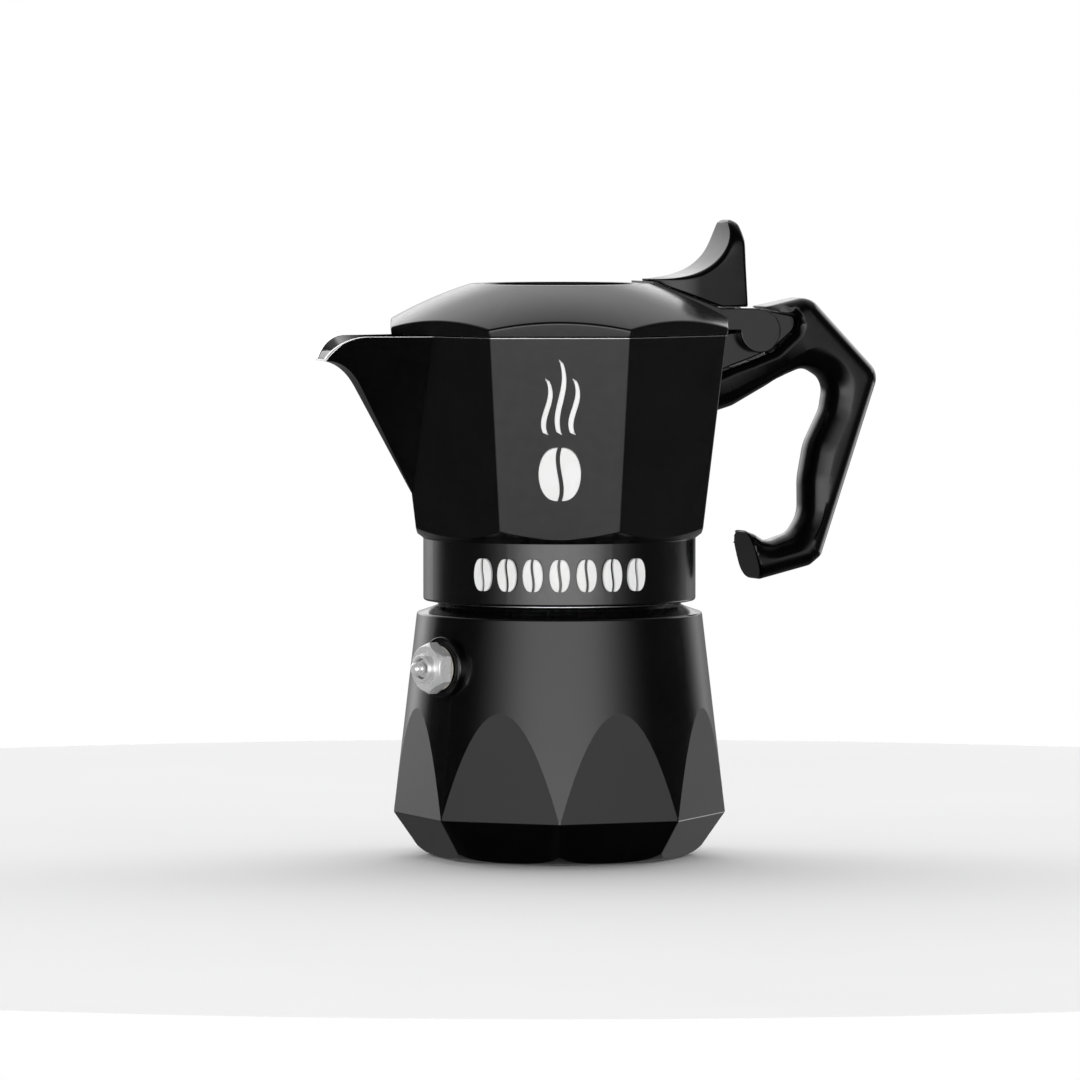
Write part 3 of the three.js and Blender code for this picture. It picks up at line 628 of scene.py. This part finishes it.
def coil(radius, wire, start, end, turns, steps=26, sides=10):
    """A helical spring, its first and last turns lying almost flat."""
    loops = []
    total = turns * steps
    for k in range(total + 1):
        t = k / total
        level = t - math.sin(2 * math.pi * t) * 0.07
        angle = 2 * math.pi * turns * t
        centre = Vector((radius * math.cos(angle), radius * math.sin(angle), start + (end - start) * level))
        outward = Vector((math.cos(angle), math.sin(angle), 0))
        loops.append([centre + wire * (outward * math.cos(a) + Vector((0, 0, math.sin(a))))
                      for a in (2 * math.pi * j / sides for j in range(sides + 1))])
    points, faces, tags = stitched(loops, [0] * (sides + 1), ring=False)
    faces += [tuple(range(sides)), tuple(total * (sides + 1) + j for j in range(sides))]
    return points, faces, tags + [0, 0]


piece("valve_nut", moved(turned(polygon_columns(6, math.radians(30), 0.06, 6), nut_profile), on_valve_axis),
      [steel], "boiler", "bright_steel", "valve_body")
washer = ring_corners([(5.3, 41.6, 0.1), (5.9, 41.6, 0.15), (5.9, 42.1, 0.15), (5.3, 42.1, 0.1)])
piece("valve_seal", moved(lathe(washer, 64, 2), on_valve_axis), [rubber],
      "boiler", "seal_rubber", "valve_washer")
pin = lathe([
    (0, 38, 0), (2.4, 38, 0.2), (2.4, 39.2, 0.2), (0.9, 39.3, 0.3), (0.9, 47.4, 0.2), (1.7, 47.6, 0.15),
    (1.7, 48.6, 0.15), (1.35, 48.85, 0.1), (1.35, 49.1, 0.1), (1.7, 49.35, 0.15), (1.7, 50.1, 0.5),
    (1.0, 50.75, 0.5), (0, 50.8, 0),
], 40)
piece("valve_pin", moved(pin, on_valve_axis), [steel], "valve_piston", "bright_steel", "valve_piston")
wire = coil(SPRING_R, WIRE_R, SPRING[0] + WIRE_R, SPRING[1] - WIRE_R, SPRING_TURNS)
spring = piece("valve_coil", moved(wire, on_valve_axis), [steel],
               "boiler", "bright_steel", "valve_spring")
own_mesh(spring)
keeper = ring_corners([(1.25, 46.5, 0.1), (2.45, 46.5, 0.1), (2.45, 47.1, 0.15), (1.25, 47.1, 0.15)])
piece("valve_keeper", moved(lathe(keeper, 40, 2), on_valve_axis), [steel],
      "boiler", "bright_steel", "valve_retainer")

# ---- funnel, strainer, seal and filter plate -------------------------------------------------------
basket = ring_corners([
    (26.6, 77.3, 0.2), (29.4, 77.3, 0.3), (29.8, 77.8, 0.3), (29.4, 78.2, 0.3), (25.9, 78.2, 0.8),
    (25.9, 61.4, 0.3), (24, 61.4, 0.2), (24, 60.2, 0.5), (5.3, 54, 0.4), (5.3, 50.4, 0.1),
    (6.2, 50.4, 0.1), (6.2, 53.4, 0.6), (24.8, 59.4, 1.2), (26.6, 61.2, 1.0),
])
piece("funnel_bowl", lathe(basket, 128), [turned_aluminium], "funnel", "bare_aluminium", "funnel_basket")
stem = ring_corners([(4, 8, 0.1), (5, 8, 0.3), (5, 54, 0.2), (4, 54, 0.2)])
piece("funnel_tube", lathe(stem, 64), [turned_aluminium], "funnel", "bare_aluminium", "funnel_stem")


def sieve(name, target, radius, bottom, hole_r, pitch):
    """A round plate with rings of holes and a slightly turned-down edge."""
    height, dish = 0.5, 0.1
    top = bottom + height
    sheet = mesh_object(name, lathe([
        (0, bottom + dish, 0), (radius - 3, bottom + dish, 1), (radius - 2, bottom, 1),
        (radius, bottom, 0.15), (radius, top, 0.2), (radius - 2.2, top, 1),
        (radius - 3.2, top + dish, 1), (0, top + dish, 0),
    ], 128, 3), [turned_aluminium])
    low, high = bottom - 2, top + 2
    cutter = lathe([(0, low, 0), (hole_r, low, 0), (hole_r, high, 0), (0, high, 0)], 10)
    holes = []
    for ring in range(int((radius - 5) / pitch) + 1):
        count = max(1, 6 * ring)
        for k in range(count):
            angle = 2 * math.pi * (k + 0.5 * (ring % 2)) / count
            spot = Matrix.Translation((ring * pitch * math.cos(angle), ring * pitch * math.sin(angle), 0))
            holes.append(moved(cutter, spot))
    carve(sheet, mesh_object("holes", joined(holes)), solver="MANIFOLD")
    finished(sheet, *target)


sieve("funnel_sieve", ("funnel", "bare_aluminium", "funnel_strainer"),
      radius=25.5, bottom=61.7, hole_r=0.75, pitch=3.3)
sieve("filter_sieve", ("filter_plate", "bare_aluminium", "filter_plate"),
      radius=31.1, bottom=82.4, hole_r=0.5, pitch=2.6)
seal = ring_corners([
    (26.5, 78.6, 0.7), (32.5, 78.6, 0.7), (32.5, 82.1, 0.7), (30.6, 82.1, 0.2), (30.3, 81.9, 0.2),
    (28.7, 81.9, 0.2), (28.4, 82.1, 0.2), (26.5, 82.1, 0.7),
])
piece("seal_ring", lathe(seal, 128), [rubber], "gasket", "seal_rubber", "gasket")

# ---- collector -----------------------------------------------------------------------------------
collector_columns = polygon_columns(8, FACET_TURN, 0.02)


def inner_factor(factor):
    """The inside of a casting has softer corners than its outside."""
    return min(factor, 1.055)


def facet_apothem(z):
    return RIM_APOTHEM - FACET_SLOPE * (RIM_Z - z)


def collector_profile(angle, factor):
    """Finishes: 0 paint, 1 polished edge, 2 cast aluminium, 3 turned aluminium."""
    reach = facet_apothem(0) * factor
    facet_z = (reach - UNDERSIDE_R + UNDERSIDE_SLOPE * UNDERSIDE_Z) / (UNDERSIDE_SLOPE - FACET_SLOPE * factor)
    facet_r = factor * facet_apothem(facet_z)
    soft = inner_factor(factor)
    rim_in = RIM_APOTHEM - WALL
    thread = thread_rows(angle + math.pi, BAND_BORE_R, -0.25, 80.6, 70.4)
    return rounded(ring_corners([
        (6.3, 87.8, 0, 3), (27, 83.3, 0.4), (31.4, 83.3, 0.2),
        (31.4, 82.4, 0.15), (BAND_BORE_R, 82.4, 0.4), *thread, (BAND_BORE_R, 69.3, 0.2),
        (BAND_BORE_R + 0.6, BAND_BOTTOM_Z, 0.2), (BAND_R, BAND_BOTTOM_Z, 0.7, 0), (BAND_R, BAND_TOP_Z, 0.25),
        (UNDERSIDE_R, UNDERSIDE_Z, 0.5), (facet_r, facet_z + 0.02, 0.5),
        (factor * facet_apothem(RIM_Z - 0.15), RIM_Z - 0.15, 0, 1), (factor * RIM_APOTHEM, RIM_Z, 0.1),
        (soft * rim_in, RIM_Z, 0.5, 2), (soft * (rim_in - FACET_SLOPE * 42), 98, 8), (31, 90.3, 6),
        (9.6, 93, 3), (6.3, 93.2, 0.1),
    ]))


def lip(t):
    """The spout's upper edge: X, half width and height."""
    x = SPOUT_ROOT[0] + (SPOUT_TIP[0] - SPOUT_ROOT[0]) * t
    past = max(0.0, LIP_DROP_X - x)
    fullness = 2.2 * math.sin(math.pi * min(1.0, max(0.0, t)) ** 1.6)
    half = SPOUT_ROOT[1] + (SPOUT_TIP_HALF - SPOUT_ROOT[1]) * t + fullness
    return x, half, RIM_Z - (LIP_DROP_R - math.sqrt(LIP_DROP_R**2 - past**2))


def keel(t):
    """The spout's lower strip: X, half width and height; straight first, then curving out."""
    straight = 0.71
    knee, pull, tip = Vector((-58, 126.4)), Vector((-61.9, 133.4)), Vector((SPOUT_TIP[0], SPOUT_TIP[1] - 0.5))
    if t <= straight:
        share = max(0.0, t / straight)
        place = Vector(SPOUT_APEX).lerp(knee, share)
        return place.x, 0.5 + 2.1 * share, place.y
    share = (t - straight) / (1 - straight)
    place = knee * (1 - share) ** 2 + pull * 2 * share * (1 - share) + tip * share**2
    return place.x, 2.6 + (SPOUT_TIP_HALF - 2.6) * share, place.y


def beak():
    """The spout as one closed shell: outside, rim, and inside. Finishes: 0 paint, 1 polished."""
    loops = []
    stations = [-0.07, 0.0, *np.linspace(0.04, 0.7, 14), *np.linspace(0.74, 1.0, 16)]
    for t in stations:
        x, half, z = lip(max(0.0, t))
        keel_x, keel_half, keel_z = keel(max(0.0, t))
        inward = 1.7 if t < 0 else 0.0
        closing = min(1.0, max(0.0, (t - 0.84) / 0.11))
        closing = closing * closing * (3 - 2 * closing)
        low = Vector((keel_x + 0.9 * SPOUT_WALL, max(0.25, keel_half - SPOUT_WALL), keel_z + SPOUT_WALL))
        high = Vector((x, half - SPOUT_WALL + 0.3, z))
        low = low.lerp(high - Vector((0, 0.2, 0.15)), closing)
        strip = 0.15 + 0.45 * closing
        right = [(Vector((keel_x, keel_half, keel_z)), 0.35, 0), (Vector((x, half, z - strip)), 0, 1),
                 (Vector((x, half, z)), 0.3, 1), (high, 0.3, 0), (low, 0.5, 0)]
        left = [(Vector((p.x, -p.y, p.z)), radius, tag)
                for (p, radius, _), tag in zip(reversed(right), (0, 1, 1, 0, 0))]
        corners = right + left
        loop, tags = [], []
        for k, (place, radius, tag) in enumerate(corners):
            arc = [place]
            if radius:
                arc = corner_arc(corners[k - 1][0], place, corners[(k + 1) % len(corners)][0], radius, 3)
            loop += [(p[0] + inward, p[1], p[2]) for p in arc]
            tags += [tag] * len(arc)
        loops.append([*loop, loop[0]])
    points, faces, face_tags = stitched(loops, tags, ring=False)
    rows = len(loops[0])
    last = (len(loops) - 1) * rows
    faces += [tuple(range(rows - 1)), tuple(last + j for j in range(rows - 1))]
    return points, faces, face_tags + [0, 1]


def beak_hollow():
    """What is cut from the cup behind the spout."""
    loops = []
    for t in (-1, 0.0, 0.2, 0.4, 0.6, 0.8):
        x, half, z = lip(max(0.0, t))
        keel_x, keel_half, keel_z = keel(max(0.0, t))
        inward = 9.5 if t < 0 else 0.0
        low_x = keel_x + 0.9 * SPOUT_WALL + inward
        low = Vector((low_x, max(0.3, keel_half - SPOUT_WALL), keel_z + SPOUT_WALL))
        high = Vector((x + inward, half - SPOUT_WALL, z))
        high = low.lerp(high, 1.25)
        loops.append([low, high, Vector((high.x, -high.y, high.z)), Vector((low.x, -low.y, low.z)), low])
    points, faces, tags = stitched(loops, [0] * 5, ring=False)
    last = (len(loops) - 1) * 5
    return points, [*faces, (0, 1, 2, 3), (last, last + 1, last + 2, last + 3)], [*tags, 0, 0]


def lug_outline():
    """Side view of the hinge lug, which starts inside the cup's wall."""
    return outline([
        (43.8, 129.0, 0, 0.5), (48.3, 130.9, 3, 0.5), (53.4, 132.6, 4, 0.5), (60.5, 135.3, 5, 0.5),
        (66.8, 140.6, 4, 0.5), (66.9, 144.1, 1.6, 0.5), (62.2, 145, 2, 0.5), (57.4, 146, 2, 0.5),
        (53, 146.2, 2, 0.5), (49.6, 144, 1.5, 0.5), (49.5, 139.9, 0.5, 0.5), (45.4, 139.6, 0, 0.5),
    ], 0.7)


cup_finishes = [paint, polished_edge, cast_metal, turned_aluminium]
cup = mesh_object("collector_cup", turned(collector_columns, collector_profile), cup_finishes)
carve(cup, mesh_object("notch", beak_hollow()))
finished(cup, "collector", "black_paint", "collector")
tube = mesh_object("coffee_tube", lathe([
    (0, 123, 0), (3.8, 123, 0.8), (3.8, 88.6, 0.3), (6, 88.6, 0.3), (6, 93.6, 0.1), (8.4, 93.6, 0.15),
    (8.4, 94.4, 0.5), (7.4, 100, 20), (6.2, 122, 0.3), (6.2, 124.6, 0.4), (4.5, 126, 0.7), (0, 126, 0),
]), [cast_metal])
carve(tube, mesh_object("outlet", box_shape(-8, 8, -1.6, 1.6, 119.5, 122.6)))
finished(tube, "collector", "bare_aluminium", "column")
piece("collector_spout", beak(), [paint, polished_edge], "collector", "black_paint", "collector")
piece("collector_lug", plate(*lug_outline(), LUG_HALF, upright), [paint], "collector", "black_paint",
      "collector")


# ---- lid -------------------------------------------------------------------------------------------
def dome(radius):
    """Height of the lid's crown at a radius."""
    past = radius - LID_TOP_R
    return LID_TOP_Z - 0.3143 * past - 0.00582 * past**2


def lid_profile(angle, factor, grown=0.0):
    """Finishes: 0 paint, 1 cast aluminium. grown moves the outside outward."""
    soft = inner_factor(factor)
    inner_r = soft * (LID_APOTHEM - LID_WALL)
    foot_r = factor * LID_APOTHEM + grown
    outer_r = factor * (LID_APOTHEM + FACET_SLOPE * (dome(factor * LID_APOTHEM) - LID_BOTTOM_Z)) + grown
    step_r = 24.6
    crown = [outer_r + (26.5 - outer_r) * k / 8 for k in range(1, 9)]
    under = [step_r + (inner_r - step_r) * k / 5 for k in range(1, 5)]
    return rounded([
        (0, 149.0, 0, 1), (22.4, 149.0, 0.4), (22.6, 150.6, 0.3), (step_r, dome(step_r) - CROWN_WALL, 0.4),
        *[(r, dome(r) - CROWN_WALL, 0) for r in under], (inner_r, dome(inner_r) - CROWN_WALL, 1.2),
        (inner_r, LID_BOTTOM_Z, 0.3, 0), (foot_r, LID_BOTTOM_Z, 0.15), (outer_r, dome(outer_r) + grown, 0.9),
        *[(r, dome(r) + grown, 0) for r in crown], (LID_TOP_R, LID_TOP_Z + grown, 1.6),
        (DISC_R + 0.5, LID_TOP_Z + grown, 0.35), (DISC_R, DISC_FLOOR_Z + 0.4, 0.1),
        (DISC_R - 0.4, DISC_FLOOR_Z, 0.2), (0, DISC_FLOOR_Z, 0),
    ])


lid_columns = polygon_columns(8, FACET_TURN, 0.026)
piece("lid_shell", turned(lid_columns, lid_profile), [paint, cast_metal], "lid", "black_paint", "lid")
disc = lathe([
    (0, 151.5, 0), (DISC_R - 0.5, 151.5, 0.15), (DISC_R - 0.35, 152.05, 0.2), (DISC_R - 1.3, 152.2, 0.3),
    (DISC_R - 2.0, 152.02, 0.4), (DISC_R - 7, 151.9, 3), (0, 151.85, 0),
], 160)
piece("lid_disc", disc, [paint], "lid", "black_paint", "lid_top_disc")


def bracket_outline():
    """Side view of the bracket: foot on the crown, flat top, and the barrel's disc."""
    disc_part = [(HINGE[0] + BARREL_R * math.cos(a), HINGE[1] + BARREL_R * math.sin(a), 0, 0.35)
                 for a in np.linspace(-math.pi, math.pi / 2, 40)]
    return outline([
        (24.2, 153.8, 0, 0.35), (24.2, LID_BOTTOM_Z + 0.2, 0, 0.35),
        (HINGE[0] - BARREL_R - 0.1, LID_BOTTOM_Z + 0.2, 0, 0.35), *disc_part,
        (HINGE[0] - 0.3, 146.35, 0, 0.35), (44.1, 146.4, 2.0, 0.35),
    ], 1.0)


bracket = mesh_object("lid_arms", plate(*bracket_outline(), ARM_HALF, upright, 4), [paint])
grown_lid = turned(lid_columns, lambda angle, factor: lid_profile(angle, factor, 0.02))
carve(bracket, mesh_object("crown", grown_lid))
carve(bracket, mesh_object("inside", lathe([(0, 120, 0), (43.5, 120, 0), (43.5, 142.6, 0), (0, 152, 0)], 96)))
carve(bracket, mesh_object("slot", box_shape(48.72, 70, -5.3, 5.3, 130, 160)))
finished(bracket, "lid", "black_paint", "lid_bracket")


def lever_point(u, v, w):
    """The lever's top is a half circle seen from the front; its front is half an oval seen from above."""
    above = max(0.0, v - LEVER_ROUND_Z) / LEVER_HALF
    ahead = max(0.0, LEVER_WIDE_X - u) / LEVER_POINT
    return u, w * math.sqrt(max(0.0, 1 - above**2) * max(0.0, 1 - ahead**2)), v


def lever_outline():
    front = [(24.9 + 22.6 * (1 - (1 - t) ** 1.75), 154.35 + 14.2 * t**2.1) for t in np.linspace(0.0, 1.0, 26)]
    return outline([
        (24.9, 153.95, 0, 0.15), (44.1, 146.75, 1.5, 0.5), (51.9, 146.7, 0.5, 0.8), (51.4, 158, 6, 1.2),
        (51.1, 164.5, 4, 1.2), (50.3, 169.2, 1.4, 1.2), (48.7, 170.35, 1.0, 1.0), (47.6, 169.4, 0.4, 1.2),
        *[(x, z, 0, 0.15 + 1.45 * min(1.0, k / 10)) for k, (x, z) in enumerate(front)][::-1],
    ], 0.8)


piece("lid_lever", plate(*lever_outline(), LEVER_HALF, lever_point, 4), [plastic], "lid", "black_plastic",
      "thumb_lever")


def screw(head_top, end, x):
    shape = lathe([(0, head_top - 1.6, 0), (1.6, head_top - 1.6, 0.4), (2.6, head_top - 0.9, 0.2),
                   (2.6, head_top, 0.05), (1.25, head_top, 0.1), (1.25, end, 0.2), (0, end, 0)], 40, 3)
    return moved(shape, Matrix.Translation((x, 0, 0)))


piece("lid_screw_a", screw(146.7, 153, 31.5), [steel], "lid", "bright_steel", "lid_screw_front")
piece("lid_screw_b", screw(142.9, 153, 39.0), [steel], "lid", "bright_steel", "lid_screw_rear")
pin_low, pin_high = (c / MM for c in (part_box("hinge_pin")[0].y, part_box("hinge_pin")[1].y))
hinge = lathe([(0, pin_low, 0), (1.5, pin_low, 0.3), (1.5, pin_high, 0.4), (0, pin_high, 0)], 40)
across = Matrix.Translation((HINGE[0], 0, HINGE[1])) @ Matrix.Rotation(-math.pi / 2, 4, "X")
piece("hinge_rod", moved(hinge, across), [steel], "collector", "bright_steel", "hinge_pin")


# ---- handle ----------------------------------------------------------------------------------------
BACK_EDGE = 4.4  # rounding along the back of the handle
GRIP_EDGE = 6.6  # and along the side that the fingers hold
NOTCH_EDGE = 2.2  # and round the hinge lug
HOOK_END = (54.7, 0, 79.6)  # a point of the flat end
HOOK_FACING = (-0.965, 0, -0.261)
HOOK_TOP_Z = 95
HOOK_BEVEL = 0.9


def handle_outline():
    """Side view of the handle, from its root on the cup down the grip, and back up along its back."""
    back, grip, notch = BACK_EDGE, GRIP_EDGE, NOTCH_EDGE
    return outline([
        (38, 116.6, 0, grip), (49.5, 119.9, 8, grip), (56.5, 123.6, 12, grip), (65, 128, 9, grip),
        (71.2, 130.4, 7, grip), (78.2, 126.2, 6, grip), (77, 118.8, 9, grip), (72.3, 109.5, 15, grip),
        (70.5, 100, 20, grip), (70.6, 90.2, 10, grip), (67.4, 85.5, 6, grip), (60, 82.9, 6, grip * 0.9),
        (55.5, 85.4, 6, grip * 0.8), (48.0, 88.0, 0, grip * 0.8), (45, 80, 0, back), (48.5, 71, 0, back),
        (71.8, 76.5, 3.5, back), (75, 79, 3, back), (92.2, 128.4, 5.5, back), (71.6, 149.4, 6, back),
        (57.6, 146.5, 0.3, 3.2), (62.2, 145.4, 3, 1.0), (67.4, 144.5, 2.2, 1.6), (67.3, 140.4, 4, notch),
        (60.8, 134.8, 6, notch), (53.5, 132.1, 5, notch), (48.2, 130.4, 4, notch), (38, 126.2, 0, notch),
    ])


def cut_flat(obj, place, normal, below, bevel):
    """Cuts the part of a piece below a height with a plane and softens the new edge.
    Faces, edges and points stay in the mesh's own order, so that every run gives the same result."""
    edit = bmesh.new()
    edit.from_mesh(obj.data)
    near = [face for face in edit.faces if any(vert.co.z < below * MM for vert in face.verts)]
    around = dict.fromkeys(edge for face in near for edge in face.edges)
    ends = dict.fromkeys(vert for edge in around for vert in edge.verts)
    everything = [*ends, *around, *near]
    middle = Vector(place) * MM
    bmesh.ops.bisect_plane(edit, geom=everything, plane_co=middle, plane_no=normal, clear_outer=True)
    rim = [edge for edge in edit.edges if edge.is_boundary]
    bmesh.ops.holes_fill(edit, edges=rim, sides=0)
    rim = [edge for edge in rim if edge.is_valid]
    bmesh.ops.bevel(edit, geom=rim, offset=bevel * MM, segments=3, affect="EDGES", profile=0.5)
    bmesh.ops.recalc_face_normals(edit, faces=edit.faces)
    edit.to_mesh(obj.data)
    edit.free()


def handle_block():
    """What the handle leaves free for the cup and for the two arms of the lid's bracket."""
    low, high = 95, 150
    wall = turned(collector_columns, lambda angle, factor: rounded([
        (0, low, 0), (factor * (facet_apothem(low) + GAP), low, 0),
        (factor * (facet_apothem(high) + GAP), high, 0), (0, high, 0),
    ]))
    corners, faces, tags = box_shape(50, 62.6, LUG_HALF, 9, 143, 160)
    slanted = [(x + (1.3 * (y - LUG_HALF) if x > 60 else 0), y, z) for x, y, z in corners]
    return [wall, (slanted, faces, tags), ([(x, -y, z) for x, y, z in slanted], faces, tags)]


handle = mesh_object("handle_grip", plate(*handle_outline(), HANDLE_HALF, upright, 8), [plastic])
cut_flat(handle, HOOK_END, HOOK_FACING, HOOK_TOP_Z, HOOK_BEVEL)
for block in handle_block():
    carve(handle, mesh_object("block", block))
counterbore = lathe([(0, 110, 0), (3.6, 110, 0), (3.6, 129.4, 0), (0, 129.4, 0)], 40)
carve(handle, mesh_object("counterbore", moved(counterbore, Matrix.Translation((BOLT_X, 0, 0)))))
finished(handle, "collector", "black_plastic", "handle")
bolt = lathe([(0, 128.0, 0), (1.0, 127.7, 0.2), (2.4, 127.6, 0.4), (3.2, 128.3, 0.3), (3.2, 129.1, 0.2),
              (1.5, 129.1, 0.1), (1.5, 139.5, 0.3), (0, 140.4, 0)], 40)
piece("handle_bolt", moved(bolt, Matrix.Translation((BOLT_X, 0, 0))), [steel], "collector", "bright_steel",
      "handle_screw")


# ---- plain ornament --------------------------------------------------------------------------------
def bezier(a, b, c, d, count):
    a, b, c, d = (np.array(p, float) for p in (a, b, c, d))
    return [a * (1 - t) ** 3 + 3 * b * t * (1 - t) ** 2 + 3 * c * t * t * (1 - t) + d * t**3
            for t in np.linspace(0, 1, count, endpoint=False)]


def counter_clockwise(points):
    points = np.array(points)
    after = np.roll(points, -1, 0)
    area = (points[:, 0] * after[:, 1] - after[:, 0] * points[:, 1]).sum()
    return points if area > 0 else points[::-1]


def bean_half(side, width, height, slit):
    """One half of a coffee bean; its slit is a slow S."""
    inner = side * slit / 2
    low, high = (inner, -height / 2 + 0.4), (inner, height / 2 - 0.4)
    outer = bezier(low, (side * width * 0.66, -height / 2), (side * width * 0.66, height / 2), high, 26)
    swing, rise = 0.16 * width, height * 0.17
    seam = bezier(high, (inner - swing, rise), (inner + swing, -rise), low, 16)
    return counter_clockwise([*outer, *seam])


def steam(x, length):
    right = bezier((x + 0.55, 0), (x - 1.8, length * 0.33), (x + 4.2, length * 0.6), (x + 0.5, length), 24)
    left = bezier((x - 0.2, length), (x + 2.6, length * 0.6), (x - 3.4, length * 0.33), (x - 0.55, 0), 24)
    return counter_clockwise([*right, *left])


def relief(points, depth, place, edge=0.28):
    """A raised figure; place(u, v, w) has w rising from its back."""
    return plate(points, np.full(len(points), edge), depth, lambda u, v, w: place(u, v, max(w, -0.05)), 4)


def band_beans():
    """A row of coffee beans round the front of the band."""
    shapes = []
    middle = -math.pi / 2 - FACET_TURN
    height = (BAND_BOTTOM_Z + BAND_TOP_Z) / 2
    radius = BAND_R + GAP
    for k in range(BAND_BEANS):
        turn = middle + (k - BAND_BEANS // 2) * BEAN_PITCH

        def on_band(u, v, w, turn=turn):
            angle = turn + u / radius
            return (radius + w) * math.cos(angle), (radius + w) * math.sin(angle), height + v

        shapes += [relief(bean_half(side, 5.2, 9.4, 0.7), BEAN_HEIGHT, on_band) for side in (-1, 1)]
    return joined(shapes)


def badge():
    """A bean under three curls of steam."""
    lean = math.atan(FACET_SLOPE)
    back = facet_apothem(BADGE_Z) + 0.1
    at = Matrix.Rotation(-FACET_TURN, 4, "Z") @ Matrix.Translation((0, -back, BADGE_Z))
    at = at @ Matrix.Rotation(math.pi / 2 + lean, 4, "X")
    figures = [bean_half(side, 11, 15, 1.1) for side in (-1, 1)]
    figures += [steam(x, length) + np.array((0, 10.5)) for x, length in ((-3.6, 15), (0, 20), (3.6, 15))]
    return moved(joined([relief(figure, 1.0, lambda u, v, w: (u, v, w)) for figure in figures]), at)


piece("band_beans", band_beans(), [enamel], "collector", "white_enamel", "band_ornament")
piece("badge", badge(), [enamel], "collector", "white_enamel", "emblem")
